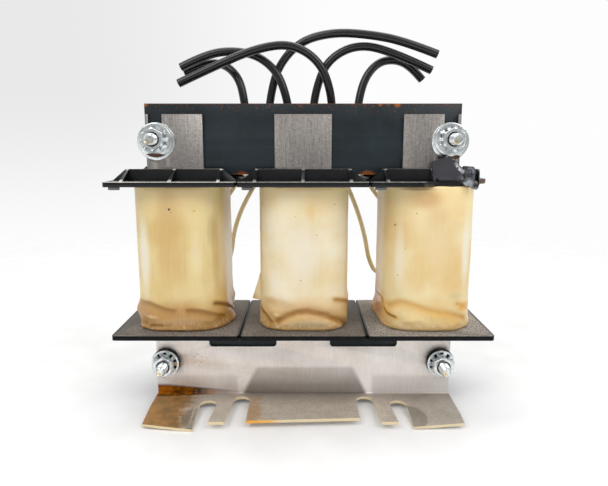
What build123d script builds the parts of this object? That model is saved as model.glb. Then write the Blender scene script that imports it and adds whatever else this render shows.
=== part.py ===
import os
from math import asin, atan2, cos, hypot, pi, radians, sin, sqrt, tan

from build123d import *

os.makedirs("parts", exist_ok=True)

# Three-phase line reactor, in millimetres. Z points up, the feet stand on z = 0,
# the middle leg is on the Z axis and the front of the reactor looks along -Y.

# Lamination stack: an E with three legs below, a straight yoke on top.
leg_width = 31.75
window_width = 38.1
window_height = 88.9
yoke_height = 38.1
stack_depth = 31.75
core_lift = 5.0
gap_thickness = 2.4

# Through bolts, one near each corner of the stack.
bolt_diameter = 6.35
bolt_inset = 6.2
core_hole = 8.3
sleeve_wall = 0.7
bolt_clearance = 0.15
stud_length = 15.6
tip_chamfer = 0.8
hex_across_flats = 11.1
nut_height = 5.5
head_height = 4.2
hex_chamfer = 0.7
thread_gap = 0.1

# Washers: a lock washer with inner teeth is under each nut. Behind it the upper bolts have
# two flat washers, the wider of which hangs low, and the lower bolts an insulating one.
tooth_count = 10
lock_ring_width = 1.0
lock_diameter = 15.8
lock_thickness = 1.2
lock_sheet = 0.7
lock_bore = 6.9
tooth_width = 2.3
tooth_twist = 16
wide_washer_diameter = 20.2
wide_washer_bore = 8.8
wide_washer_thickness = 1.6
wide_washer_sag = 1.1
flat_washer_diameter = 17.7
flat_washer_bore = 7.1
flat_washer_thickness = 1.6
flat_washer_sag = 0.3
insulating_diameter = 16.2
insulating_bore = 6.8
insulating_thickness = 3.2
rear_washer_diameter = 15.9
rear_washer_bore = 7.1
rear_washer_thickness = 1.6

# Brackets: one bent E-shaped sheet in front and the same sheet turned round behind.
sheet_thickness = 1.6
strap_inset = 0.425
strap_drop = 5.7
bar_top = 33.0
window_corner = 2.0
foot_lift = 3.0
bend_radius = 1.6
bracket_hole = 7.5
strap_slot_offset = 0.4
tab_reach = 34.8
mid_reach_left = 33.8
mid_reach_right = 30.4
outer_slot_x = 53.4
outer_slot_radius = 4.9
outer_slot_end = 10.5
inner_slot_x = 35.1
inner_slot_radius = 4.8
inner_slot_end = 5.4
tab_hook = 1.8
ear_crease_inner = 11.5
left_ear_crease = 17.0
right_ear_crease = 26.0
left_ear_reach = 37.5
right_ear_reach = 34.9
left_ear_corner_reach = 33.8
right_ear_corner_reach = 34.2

# Bobbins: a rectangular tube with a flange at each end.
bobbin_clearance = 0.4
bobbin_wall = 1.6
bobbin_headroom = 2.9
flange_gap = 0.5
flange_depth = 70.8
flange_thickness = 2.6
flange_corner = 2.2
rim_offset = 1.2
rim_thickness = 1.5
rim_height = 6.2
rim_top_width = 52.6
rim_foot_inset = 1.0
rib_spacing = 25.3
rib_thickness = 1.7
rib_margin = 2.2
nub_length = 6.0
nub_height = 1.6
nub_inset = 5.5

# Windings and their paper wraps.
winding_gap = 0.2
end_gap = 0.3
wrap_width = 49.8
wrap_depth = 56.0
wrap_corner = 16.0
wrap_thickness = 0.9
crease_width = 0.9
crease_depth = 0.5

# Leads.
lead_diameter = 5.0
sleeving_diameter = 2.9
lead_foot = 148.0

# Sizes that follow from the ones above.
pitch = leg_width + window_width
core_width = 3 * leg_width + 2 * window_width
core_half = core_width / 2
stack_half = stack_depth / 2
window_floor = core_lift + yoke_height
window_top = window_floor + window_height
core_top = window_top + yoke_height
lower_bolt_z = core_lift + yoke_height / 2
upper_bolt_z = core_top - yoke_height / 2
bolt_x = core_half - bolt_inset
bolt_spots = {
    "upper_left": (-bolt_x, upper_bolt_z),
    "upper_right": (bolt_x, upper_bolt_z),
    "lower_left": (-bolt_x, lower_bolt_z),
    "lower_right": (bolt_x, lower_bolt_z),
}
coil_spots = {"left": -pitch, "centre": 0.0, "right": pitch}
plate_front = stack_half + sheet_thickness
foot_top = foot_lift + sheet_thickness
strap_width = leg_width - 2 * strap_inset
bracket_half = pitch + strap_width / 2
strap_top = core_top - strap_drop
sleeve_outer = bolt_diameter + 2 * (bolt_clearance + sleeve_wall)
bore_width = leg_width + 2 * bobbin_clearance
bore_depth = 2 * (plate_front + bobbin_clearance)
tube_width = bore_width + 2 * bobbin_wall
tube_depth = bore_depth + 2 * bobbin_wall
flange_width = pitch - flange_gap
flange_half = flange_width / 2
rim_foot_width = flange_width - 2 * rim_foot_inset
flange_front = flange_depth / 2
bobbin_height = window_height - bobbin_headroom
bobbin_top = window_floor + bobbin_height
upper_flange_z = bobbin_top - flange_thickness
lower_flange_top = window_floor + flange_thickness
rim_inner = bore_depth / 2 + rim_offset
rim_outer = rim_inner + rim_thickness
wrap_half_depth = wrap_depth / 2
coil_bottom = lower_flange_top + end_gap
coil_height = upper_flange_z - lower_flange_top - 2 * end_gap


def save(part, name):
    part.label = name
    export_step(part, f"parts/{name}.step")
    print(f"{name}: {len(part.solids())} solid(s), {part.volume / 1000:.2f} cm3")


# Core

def make_core():
    leg_height = window_height - gap_thickness
    with BuildPart() as core:
        with BuildSketch(Plane.XZ):
            with Locations((0, core_lift)):
                Rectangle(core_width, yoke_height, align=(Align.CENTER, Align.MIN))
            with Locations(*[(x, window_floor) for x in coil_spots.values()]):
                Rectangle(leg_width, leg_height, align=(Align.CENTER, Align.MIN))
            with Locations((-bolt_x, lower_bolt_z), (bolt_x, lower_bolt_z)):
                Circle(core_hole / 2, mode=Mode.SUBTRACT)
        extrude(amount=stack_half, both=True)
    save(core.part, "core_legs")

    with BuildPart() as yoke:
        with BuildSketch(Plane.XZ):
            with Locations((0, window_top)):
                Rectangle(core_width, yoke_height, align=(Align.CENTER, Align.MIN))
            with Locations((-bolt_x, upper_bolt_z), (bolt_x, upper_bolt_z)):
                Circle(core_hole / 2, mode=Mode.SUBTRACT)
        extrude(amount=stack_half, both=True)
    save(yoke.part, "upper_yoke")

    for name, x in coil_spots.items():
        with BuildPart() as spacer:
            with BuildSketch(Plane.XY.offset(window_top - gap_thickness)):
                with Locations((x, 0)):
                    Rectangle(leg_width, stack_depth)
            extrude(amount=gap_thickness)
        save(spacer.part, f"gap_spacer_{name}")


# Brackets

def foot_slot(side, slot_x, radius, end, mouth_inner, mouth_outer):
    # Open slot in the foot: a round closed end and straight or leaning sides.
    closed = -(plate_front + end)
    middle = closed - radius
    mouth = -(plate_front + 2 * tab_reach)
    lip = -(plate_front + tab_reach)
    inner, outer = side * (slot_x - radius), side * (slot_x + radius)
    with BuildSketch() as slot:
        with BuildLine():
            Polyline((side * mouth_inner, mouth), (side * mouth_inner, lip), (inner, middle))
            ThreePointArc((inner, middle), (side * slot_x, closed), (outer, middle))
            Polyline((outer, middle), (side * mouth_outer, lip), (side * mouth_outer, mouth),
                     (side * mouth_inner, mouth))
        make_face()
    return slot.sketch


def ear_flap(side, crease_outer, reach, corner_reach):
    # Outer end of the foot, folded down about a slanting crease until its inner
    # front corner touches the ground.
    edge_x = side * (outer_slot_x + outer_slot_radius)
    start = Vector(edge_x, -(plate_front + ear_crease_inner), 0)
    end = Vector(side * bracket_half, -(plate_front + crease_outer), 0)
    along = (end - start).normalized()
    forward = along.cross(Vector(0, 0, side))
    tips = [Vector(side * bracket_half, -(plate_front + corner_reach), 0),
            Vector(edge_x, -(plate_front + reach), 0)]
    drop_arm = (tips[1] - start).dot(forward)
    radius = hypot(drop_arm, sheet_thickness)
    fold = asin(foot_top / radius) - atan2(sheet_thickness, drop_arm)
    normal = Vector(0, 0, cos(fold)) + forward * sin(fold)
    flap_plane = Plane(origin=start + Vector(0, 0, foot_top), x_dir=along, z_dir=normal)
    outline = [(0, 0), ((end - start).length, 0)]
    outline += [((tip - start).dot(along), -side * (tip - start).dot(forward)) for tip in tips]
    with BuildPart() as flap:
        with BuildSketch(flap_plane):
            Polygon(*outline, align=None)
        extrude(amount=-sheet_thickness)
    return flap.part


def make_bracket():
    section = [(-stack_half, strap_top), (-plate_front, strap_top), (-plate_front, foot_top),
               (-plate_front - tab_reach, foot_top), (-plate_front - tab_reach, foot_lift),
               (-stack_half, foot_lift)]
    slots = []
    for side in (-1, 1):
        slots.append(foot_slot(side, inner_slot_x, inner_slot_radius, inner_slot_end,
                               inner_slot_x - inner_slot_radius, inner_slot_x + inner_slot_radius + tab_hook))
        slots.append(foot_slot(side, outer_slot_x, outer_slot_radius, outer_slot_end,
                               outer_slot_x - outer_slot_radius + tab_hook, outer_slot_x + outer_slot_radius))
    ears = [ear_flap(-1, left_ear_crease, left_ear_reach, left_ear_corner_reach),
            ear_flap(1, right_ear_crease, right_ear_reach, right_ear_corner_reach)]
    with BuildPart() as bracket:
        with BuildSketch(Plane.YZ) as profile:
            Polygon(*section, align=None)
            inside = profile.vertices().sort_by_distance((0, -plate_front, foot_top))[0]
            outside = profile.vertices().sort_by_distance((0, -stack_half, foot_lift))[0]
            fillet(inside, bend_radius)
            fillet(outside, bend_radius + sheet_thickness)
        extrude(amount=bracket_half, both=True)

        # Windows between the straps, open at the top.
        with BuildSketch(Plane.XZ.offset(plate_front + 1)) as windows:
            with Locations((-pitch / 2, bar_top), (pitch / 2, bar_top)):
                Rectangle(pitch - strap_width, core_top, align=(Align.CENTER, Align.MIN))
            fillet(windows.vertices().group_by(Axis.Y)[0], window_corner)
        extrude(amount=-(sheet_thickness + 2), mode=Mode.SUBTRACT)

        # Bolt holes in the bar and open slots in the two outer straps.
        with BuildSketch(Plane.XZ.offset(plate_front + 1)):
            with Locations((-bolt_x, lower_bolt_z), (bolt_x, lower_bolt_z)):
                Circle(bracket_hole / 2)
            slot_x = bolt_x + strap_slot_offset
            with Locations((-slot_x, upper_bolt_z), (slot_x, upper_bolt_z)):
                Circle(bracket_hole / 2)
                Rectangle(bracket_hole, yoke_height, align=(Align.CENTER, Align.MIN))
        extrude(amount=-(sheet_thickness + 2), mode=Mode.SUBTRACT)

        # Mounting slots, and the front edge of the middle of the foot.
        with BuildSketch(Plane.XY.offset(-1)):
            add(slots)
            edge = inner_slot_x
            Polygon((-edge, -plate_front - mid_reach_left), (edge, -plate_front - mid_reach_right),
                    (edge, -plate_front - 2 * tab_reach), (-edge, -plate_front - 2 * tab_reach),
                    align=None)
        extrude(amount=foot_top + 2, mode=Mode.SUBTRACT)

        # Ears: cut off at the crease, then folded on.
        with BuildSketch(Plane.XY.offset(-1)):
            for side, crease in ((-1, left_ear_crease), (1, right_ear_crease)):
                edge_x = side * (outer_slot_x + outer_slot_radius)
                Polygon((edge_x, -plate_front - ear_crease_inner),
                        (side * bracket_half, -plate_front - crease),
                        (side * (bracket_half + 1), -plate_front - crease),
                        (side * (bracket_half + 1), -plate_front - 2 * tab_reach),
                        (edge_x, -plate_front - 2 * tab_reach), align=None)
        extrude(amount=foot_top + 2, mode=Mode.SUBTRACT)
        add(ears)
    return bracket.part


# Bobbins

# The front right of the right bobbin's upper flange is snapped off. Each point of the
# break is given by how far it lies in from the right edge and back from the front edge.
break_edge = [(42.5, -1), (38.1, 4.4), (33.0, 8.9), (21.1, 9.2), (17.5, 12.0), (10.0, 10.8),
              (8.5, 17.4), (4.9, 25.9), (2.5, 27.4), (-1, 32.8), (-1, -1)]
rim_break = [(32.9, 0), (32.1, 16.5), (17.1, 16.5), (18.3, 0)]

# What still hangs on at the break: for each piece how far back its front is, how thick it
# is, and its corners by how far in from the right edge and how high above the flange.
torn_pieces = {
    "corner folded upright": (9.8, 2.4, [(35.9, 10.7), (25.7, 13.2), (22.9, 6.4), (18.9, 2.0), (19.7, -1.6),
                                         (30.5, -1.4), (32.5, 0.8), (35.2, 4.4)]),
    "fold beside it": (10.9, 1.8, [(25.3, 11.8), (23.8, 11.0), (18.4, 5.8), (17.6, -1.6), (22.6, -1.6)]),
    "end of the rim": (11.9, 4.4, [(23.1, -1.9), (24.9, 6.7), (22.3, 7.5), (17.1, 3.3), (16.7, -1.9)]),
    "curled lump": (9.9, 3.8, [(18.9, 7.3), (18.1, 7.9), (13.8, 7.6), (13.1, 6.9), (12.7, 3.4), (13.4, -0.8),
                               (17.5, -0.8)]),
    "crushed shard": (6.9, 4.6, [(21.4, 0.7), (14.0, 1.2), (12.7, -0.8), (14.2, -2.6), (18.4, -2.3)]),
    "hanging shard": (6.1, 1.1, [(17.4, -0.9), (12.4, -0.6), (11.7, -3.3), (13.0, -4.4), (15.2, -3.8)]),
}
lump_hollow = (9.9, 1.3, [(17.3, 6.4), (14.4, 6.2), (14.1, 3.4), (16.8, 3.0)])


def snapped_piece(x):
    right, front = x + flange_half, -flange_front
    with BuildPart() as snapped:
        with BuildSketch(Plane.XY.offset(upper_flange_z - nub_height - 1)):
            Polygon(*[(right - across, front + back) for across, back in break_edge], align=None)
        extrude(amount=flange_thickness + rim_height + nub_height + 2)
        with BuildSketch(Plane.XY.offset(bobbin_top)):
            Polygon(*[(right - across, front + back) for across, back in rim_break], align=None)
        extrude(amount=rim_height + 1)
    return snapped.part


def torn_piece(x, back, thickness, corners):
    with BuildPart() as torn:
        with BuildSketch(Plane.XZ.offset(flange_front - back)):
            Polygon(*[(x + flange_half - across, bobbin_top + up) for across, up in corners], align=None)
        extrude(amount=-thickness)
    return torn.part


def make_bobbin(name, x):
    snapped, hollow = snapped_piece(x), torn_piece(x, *lump_hollow)
    torn = [torn_piece(x, *piece) for piece in torn_pieces.values()]
    rim_root = -flange_thickness / 2
    with BuildPart() as bobbin:
        with BuildSketch(Plane.XY.offset(window_floor)):
            with Locations((x, 0)):
                Rectangle(tube_width, tube_depth)
        extrude(amount=bobbin_height)
        for z in (window_floor, upper_flange_z):
            with BuildSketch(Plane.XY.offset(z)):
                with Locations((x, 0)):
                    RectangleRounded(flange_width, flange_depth, flange_corner)
            extrude(amount=flange_thickness)

        # Upright rim across the upper flange, front and back, with three sloping ribs.
        for side in (-1, 1):
            face = Plane(origin=(x, side * rim_inner, bobbin_top), x_dir=(-side, 0, 0), z_dir=(0, side, 0))
            with BuildSketch(face):
                Polygon((-rim_foot_width / 2, rim_root), (rim_foot_width / 2, rim_root),
                        (rim_foot_width / 2, 0), (rim_top_width / 2, rim_height),
                        (-rim_top_width / 2, rim_height), (-rim_foot_width / 2, 0), align=None)
            extrude(amount=rim_thickness)
            rib_end = side * (flange_front - rib_margin)
            for offset in (-rib_spacing, 0, rib_spacing):
                with BuildSketch(Plane.YZ.offset(x + offset)):
                    Polygon((side * rim_inner, bobbin_top + rim_root),
                            (side * rim_inner, bobbin_top + rim_height),
                            (side * rim_outer, bobbin_top + rim_height),
                            (rib_end, bobbin_top), (rib_end, bobbin_top + rim_root), align=None)
                extrude(amount=rib_thickness / 2, both=True)

        # Small foot under the front left corner of the upper flange.
        with BuildSketch(Plane.XY.offset(upper_flange_z)):
            with Locations((x - flange_half + nub_inset, -flange_front + nub_length / 2)):
                SlotOverall(nub_length, nub_length / 2)
        extrude(amount=-nub_height)
        with BuildSketch(Plane.XY.offset(window_floor - 1)):
            with Locations((x, 0)):
                Rectangle(bore_width, bore_depth)
        extrude(amount=bobbin_height + 2, mode=Mode.SUBTRACT)
        if name == "right":
            add(snapped, mode=Mode.SUBTRACT)
            add(torn)
            add(hollow, mode=Mode.SUBTRACT)
    save(bobbin.part, f"bobbin_{name}")


# Windings and wraps

wrap_bulges = [(0.0, 0.0), (1.6, 0.7), (5.5, 0.9), (9.5, 0.1), (12.0, 0.5), (15.5, 0.0)]
wrap_creases = {
    "left": [[(-18.2, 62.4), (-11.0, 60.2), (-4.0, 58.2)], [(4.3, 58.2), (14.0, 57.2), (21.1, 54.3)],
             [(15.0, 61.4), (22.3, 60.7)]],
    "centre": [[(-23.6, 61.6), (-19.8, 56.2), (-15.6, 51.9)], [(-15.1, 49.2), (-2.8, 55.9), (22.2, 49.0)],
               [(14.2, 62.5), (23.6, 61.5)]],
    "right": [[(-22.0, 58.6), (-16.1, 61.9), (-2.7, 58.7), (19.5, 53.1)],
              [(-22.3, 65.5), (-20.2, 60.6), (-18.6, 52.3)], [(-9.0, 50.2), (7.5, 51.6)]],
}


def make_coil(name, x):
    inner_width, inner_depth = wrap_width - 2 * wrap_thickness, wrap_depth - 2 * wrap_thickness
    inner_corner = wrap_corner - wrap_thickness
    with BuildPart() as winding:
        with BuildSketch(Plane.XY.offset(coil_bottom)):
            with Locations((x, 0)):
                RectangleRounded(inner_width - 2 * winding_gap, inner_depth - 2 * winding_gap,
                                 inner_corner - winding_gap)
                Rectangle(tube_width + 2 * winding_gap, tube_depth + 2 * winding_gap, mode=Mode.SUBTRACT)
        extrude(amount=coil_height)
    save(winding.part, f"winding_{name}")

    with BuildPart() as wrap:
        for height, bulge in wrap_bulges + [(coil_height, 0.0)]:
            with BuildSketch(Plane.XY.offset(coil_bottom + height)):
                with Locations((x, 0)):
                    RectangleRounded(wrap_width + 2 * bulge, wrap_depth + 2 * bulge, wrap_corner + bulge)
        loft(ruled=True)
        with BuildSketch(Plane.XY.offset(coil_bottom)):
            with Locations((x, 0)):
                RectangleRounded(inner_width, inner_depth, inner_corner)
        extrude(amount=coil_height, mode=Mode.SUBTRACT)
    # Pressed folds in the gathered foot of the wrap, cut to one depth round its corners.
    with BuildPart() as folds:
        for crease in wrap_creases[name]:
            with BuildSketch(Plane.XZ):
                with BuildLine():
                    Polyline(*[(x + dx, z) for dx, z in crease])
                trace(line_width=crease_width)
            extrude(amount=wrap_depth)
        with BuildSketch(Plane.XY.offset(coil_bottom)):
            with Locations((x, 0)):
                RectangleRounded(wrap_width - 2 * crease_depth, wrap_depth - 2 * crease_depth,
                                 wrap_corner - crease_depth)
        extrude(amount=coil_height, mode=Mode.SUBTRACT)
    save(wrap.part - folds.part, f"coil_wrap_{name}")


# Fasteners

def front_plane(x, z, y):
    return Plane(origin=(x, -y, z), x_dir=(1, 0, 0), z_dir=(0, -1, 0))


def rear_plane(x, z, y):
    return Plane(origin=(x, y, z), x_dir=(-1, 0, 0), z_dir=(0, 1, 0))


def make_bolt(name, x, z):
    rear_start = plate_front + rear_washer_thickness
    length = plate_front + stud_length + rear_start
    with BuildPart() as bolt:
        with BuildSketch(rear_plane(x, z, rear_start)):
            RegularPolygon(hex_across_flats / 2, 6, major_radius=False, rotation=30)
        extrude(amount=head_height)
        chamfer(bolt.faces().sort_by(Axis.Y)[-1].edges(), hex_chamfer / 2)
        with BuildSketch(front_plane(x, z, -rear_start)):
            Circle(bolt_diameter / 2)
        extrude(amount=length)
        chamfer(bolt.faces().sort_by(Axis.Y)[0].edges(), tip_chamfer)
    save(bolt.part, f"bolt_{name}")


def make_nut(name, x, z, start):
    with BuildPart() as nut:
        with BuildSketch(front_plane(x, z, start)):
            RegularPolygon(hex_across_flats / 2, 6, major_radius=False, rotation=30)
        extrude(amount=nut_height)
        chamfer(nut.faces().sort_by(Axis.Y)[0].edges(), hex_chamfer / 2)
        with BuildSketch(front_plane(x, z, start)):
            Circle(bolt_diameter / 2 + thread_gap)
        extrude(amount=nut_height, mode=Mode.SUBTRACT)
        chamfer(nut.faces().sort_by(Axis.Y)[0].inner_wires().edges(), hex_chamfer / 2)
    save(nut.part, f"nut_{name}")


def make_lock_washer(name, x, z, start):
    # Flat ring with twisted teeth that point inward all round it.
    seat = front_plane(x, z, start)
    ring_inner = lock_diameter / 2 - lock_ring_width
    tooth_start, tooth_end = lock_bore / 2 - 0.5, ring_inner + lock_ring_width / 2
    with BuildPart() as washer:
        with BuildSketch(seat.offset((lock_thickness - lock_sheet) / 2)):
            Circle(lock_diameter / 2)
            Circle(ring_inner, mode=Mode.SUBTRACT)
        extrude(amount=lock_sheet)
        with Locations(seat.offset(lock_thickness / 2)):
            with PolarLocations((tooth_start + tooth_end) / 2, tooth_count):
                Box(tooth_end - tooth_start, tooth_width, lock_sheet, rotation=(tooth_twist, 0, 0))
        with BuildSketch(seat.offset(-1)):
            Circle(lock_diameter)
        extrude(amount=1, mode=Mode.SUBTRACT)
        with BuildSketch(seat.offset(lock_thickness)):
            Circle(lock_diameter)
        extrude(amount=1, mode=Mode.SUBTRACT)
        with BuildSketch(seat.offset(-1)):
            Circle(lock_bore / 2)
        extrude(amount=lock_thickness + 2, mode=Mode.SUBTRACT)
    save(washer.part, f"lock_washer_{name}")


def make_washer(name, plane, diameter, bore, thickness, sag):
    with BuildPart() as washer:
        with BuildSketch(plane):
            with Locations((0, -sag)):
                Circle(diameter / 2)
                Circle(bore / 2, mode=Mode.SUBTRACT)
        extrude(amount=thickness)
    save(washer.part, name)


def make_fasteners():
    for name, (x, z) in bolt_spots.items():
        upper = name.startswith("upper")
        seat = plate_front
        if upper:
            make_washer(f"wide_washer_{name}", front_plane(x, z, seat), wide_washer_diameter,
                        wide_washer_bore, wide_washer_thickness, wide_washer_sag)
            seat = seat + wide_washer_thickness
            make_washer(f"flat_washer_{name}", front_plane(x, z, seat), flat_washer_diameter,
                        flat_washer_bore, flat_washer_thickness, flat_washer_sag)
            seat = seat + flat_washer_thickness
        else:
            make_washer(f"insulating_washer_{name}", front_plane(x, z, seat), insulating_diameter,
                        insulating_bore, insulating_thickness, 0)
            seat = seat + insulating_thickness
        make_lock_washer(name, x, z, seat)
        make_nut(name, x, z, seat + lock_thickness)
        make_bolt(name, x, z)
        make_washer(f"rear_washer_{name}", rear_plane(x, z, plate_front), rear_washer_diameter,
                    rear_washer_bore, rear_washer_thickness, 0)
        with BuildPart() as sleeve:
            with BuildSketch(front_plane(x, z, -stack_half)):
                Circle(sleeve_outer / 2)
                Circle(sleeve_outer / 2 - sleeve_wall, mode=Mode.SUBTRACT)
            extrude(amount=stack_depth)
        save(sleeve.part, f"bolt_sleeve_{name}")


# Leads: points along each route, straight runs joined by tangent arcs.

lead_routes = {
    "a": [(-7.8, 25, lead_foot), (-7.8, 25, 162), (-10.2, 23, 177.5), (-15.6, 24, 191.5), (-27.0, 26, 201.2),
          (-42.0, 27, 204.3), (-58.5, 27, 202.3), (-74.4, 27, 194.5)],
    "b": [(-34.8, 26, lead_foot), (-34.8, 26, 161), (-35.8, 24.5, 174.5), (-38.6, 26.5, 187.0),
          (-45.5, 29.5, 195.2), (-54.5, 31.5, 198.2), (-64.4, 32.8, 195.6), (-73.3, 33, 191.8)],
    "c": [(18.0, 25, lead_foot), (18.0, 25, 162), (16.8, 21.5, 180.5), (9.6, 20, 197.5), (-6.8, 19, 207.0),
          (-26.6, 18, 204.3), (-49.3, 17.5, 195.4), (-74.1, 17.5, 184.1)],
    "d": [(-21.8, 28, lead_foot), (-21.8, 28, 161.5), (-20.2, 30, 178), (-15.4, 29.5, 195.5), (-2.2, 27.5, 209.6),
          (17.0, 24, 214.2), (38.5, 22, 212.8), (60.0, 20.5, 208.6), (79.8, 20, 201.0)],
    "e": [(5.6, 27, lead_foot), (5.6, 27, 162), (7.4, 28, 180.5), (14.4, 26.5, 198.6), (32.0, 25, 207.8),
          (53.5, 24, 203.4), (77.5, 24, 192.4)],
    "f": [(33.0, 26, lead_foot), (33.0, 26, 161), (34.2, 27.5, 176), (38.2, 29, 189.4), (46.4, 30.2, 198.4),
          (57.2, 31, 199.8), (66.6, 31, 195.4), (73.5, 31, 187.6)],
}
# Each sleeving starts square on the foot of its lead, passes over the rear edge of the
# upper flange and ends square on the back of its coil. Its middle points are given by
# where they are across, how far out from that edge and how high above the flange, and its
# end by how far it is from the middle of its coil and how high above the flange.
foot_drop = 8.0
entry_run = 5.6
sleeving_routes = {
    "left_start": ("d", [(-24.0, 0.2, 5.5), (-28.8, 4.8, -2.1), (-35.0, 4.8, -12.1), (-41.6, 4.6, -24.6),
                         (-46.0, 4.1, -38.1), (-47.6, 3.2, -51.1), (-50.6, 1.2, -59.6)], (13.2, -63.1)),
    "left_finish": ("b", [(-37.2, 0.2, 5.5), (-41.4, 4.6, -1.7), (-45.6, 4.2, -8.5),
                          (-50.2, 1.8, -15.7)], (13.4, -19.5)),
    "centre_start": ("a", [(-8.8, 0.2, 5.5), (-9.4, 5.0, -2.1), (-8.6, 3.2, -10.5)], (-7.4, -16.6)),
    "centre_finish": ("e", [(6.4, 0.2, 5.5), (8.0, 5.0, -2.5), (8.6, 3.4, -12.1)], (7.8, -18.6)),
    "right_start": ("c", [(21.4, 0.2, 5.5), (26.6, 4.8, -2.1), (31.6, 4.8, -13.1), (36.9, 4.6, -26.6),
                          (41.0, 4.2, -40.6), (43.6, 3.6, -55.1), (47.2, 2.2, -63.5)], (-16.8, -65.6)),
    "right_finish": ("f", [(35.8, 0.2, 5.5), (40.2, 4.6, -1.7), (44.8, 4.2, -8.5),
                           (49.8, 2.0, -15.5)], (-13.8, -19.1)),
}


def corner_radii(points):
    # Radius at each inner point: 0.45 of the shorter run over the tangent of half the turn.
    radii = []
    for before, here, after in zip(points, points[1:], points[2:]):
        run_in, run_out = Vector(here) - Vector(before), Vector(after) - Vector(here)
        turn = radians(run_in.get_angle(run_out))
        radii.append(0.45 * min(run_in.length, run_out.length) / tan(turn / 2))
    return radii


def make_tube(name, points, diameter):
    radii = corner_radii(points)
    with BuildPart() as tube:
        with BuildLine():
            path = FilletPolyline(*points, radius=radii)
        with BuildSketch(Plane(origin=path @ 0, z_dir=path % 0)):
            Circle(diameter / 2)
        sweep()
    expected = pi * diameter ** 2 / 4 * path.length
    print(f"{name}: length {path.length:.1f}, radii", [round(r, 1) for r in radii],
          f"volume ratio {tube.part.volume / expected:.4f}")
    save(tube.part, name)


def make_leads():
    for name, points in lead_routes.items():
        make_tube(f"lead_{name}", points, lead_diameter)
    for name, (lead, middle, (across, up)) in sleeving_routes.items():
        x, y, z = lead_routes[lead][0]
        end_x, end_z = coil_spots[name.split("_")[0]] + across, bobbin_top + up
        # The inner edge of the sleeving meets the rounded corner of the wrap.
        past_flat = max(0, abs(across) - sleeving_diameter / 2 - (wrap_width / 2 - wrap_corner))
        end_y = wrap_half_depth - wrap_corner + sqrt(wrap_corner ** 2 - past_flat ** 2)
        points = [(x, y, z), (x, y, z - foot_drop)]
        points += [(px, flange_front + out, bobbin_top + rise) for px, out, rise in middle]
        points += [(end_x, wrap_half_depth + entry_run, end_z), (end_x, end_y, end_z)]
        make_tube(f"sleeving_{name}", points, sleeving_diameter)


make_core()
front_bracket = make_bracket()
save(front_bracket, "front_bracket")
save(front_bracket.rotate(Axis.Z, 180), "rear_bracket")
for coil_name, coil_x in coil_spots.items():
    make_bobbin(coil_name, coil_x)
    make_coil(coil_name, coil_x)
make_fasteners()
make_leads()
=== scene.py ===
import math
import random

import bmesh
import bpy
from mathutils import Matrix, Vector, noise


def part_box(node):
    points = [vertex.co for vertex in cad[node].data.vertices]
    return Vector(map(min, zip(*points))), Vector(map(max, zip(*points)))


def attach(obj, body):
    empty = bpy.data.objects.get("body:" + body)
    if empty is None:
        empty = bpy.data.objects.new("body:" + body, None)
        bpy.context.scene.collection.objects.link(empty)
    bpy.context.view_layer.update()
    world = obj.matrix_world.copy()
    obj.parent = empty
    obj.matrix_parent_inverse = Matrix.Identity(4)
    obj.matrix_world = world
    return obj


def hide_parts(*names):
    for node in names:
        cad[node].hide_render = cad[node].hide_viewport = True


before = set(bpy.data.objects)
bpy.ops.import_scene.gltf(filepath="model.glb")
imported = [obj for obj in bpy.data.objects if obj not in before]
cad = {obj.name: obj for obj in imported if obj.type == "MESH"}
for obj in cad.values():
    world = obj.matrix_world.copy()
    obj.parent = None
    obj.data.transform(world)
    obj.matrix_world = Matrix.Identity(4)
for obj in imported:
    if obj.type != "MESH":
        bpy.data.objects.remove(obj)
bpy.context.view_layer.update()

mm = 0.001
scene = bpy.context.scene
scene.view_settings.view_transform = "Standard"

# Where things are, from the frame
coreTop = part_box("upper_yoke")[1].z
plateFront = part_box("core_legs")[0].y - 1.6 * mm       # front face of the bracket sheet
coilMiddles = {side: sum(corner.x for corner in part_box(f"winding_{side}")) / 2
               for side in ("left", "centre", "right")}
boltSpots = {spot: (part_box(f"nut_{spot}")[0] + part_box(f"nut_{spot}")[1]) / 2
             for spot in ("upper_left", "upper_right", "lower_left", "lower_right")}


# Camera, at the photograph's height and angle

cameraPlace = dict(distance=317.4 * mm, height=148 * mm, downward=10.2, lens=32.2, sensor=36, shift=0.0014)


def makeCamera():
    data = bpy.data.cameras.new("camera")
    data.lens = cameraPlace["lens"]
    data.sensor_width = cameraPlace["sensor"]
    data.clip_start = 5 * mm
    data.shift_x = cameraPlace["shift"]
    cam = bpy.data.objects.new("camera", data)
    scene.collection.objects.link(cam)
    cam.location = (0, -cameraPlace["distance"], cameraPlace["height"])
    cam.rotation_euler = (math.radians(90 - cameraPlace["downward"]), 0, 0)
    scene.camera = cam


makeCamera()
print("camera ready")


# Node trees are written as sums over wires, each of which is the output of a node

class Wire:
    def __init__(self, tree, socket):
        self.tree, self.socket = tree, socket

    def __add__(self, other):
        return calc("ADD", self, other)

    def __sub__(self, other):
        return calc("SUBTRACT", self, other)

    def __rsub__(self, other):
        return calc("SUBTRACT", other, self)

    def __mul__(self, other):
        return calc("MULTIPLY", self, other)

    def __truediv__(self, other):
        return calc("DIVIDE", self, other)

    def __abs__(self):
        return calc("ABSOLUTE", self)

    def remap(self, low, high, toLow=0.0, toHigh=1.0, smooth=False):
        return make(self.tree, "ShaderNodeMapRange",
                    {"Value": self, "From Min": low, "From Max": high, "To Min": toLow, "To Max": toHigh},
                    interpolation_type="SMOOTHSTEP" if smooth else "LINEAR")


def rgb(text):
    # Hex colour as seen on a screen, turned to the linear values that shaders take.
    parts = [int(text[i:i + 2], 16) / 255 for i in (0, 2, 4)]
    return (*[c / 12.92 if c <= 0.04045 else ((c + 0.055) / 1.055) ** 2.4 for c in parts], 1.0)


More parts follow.
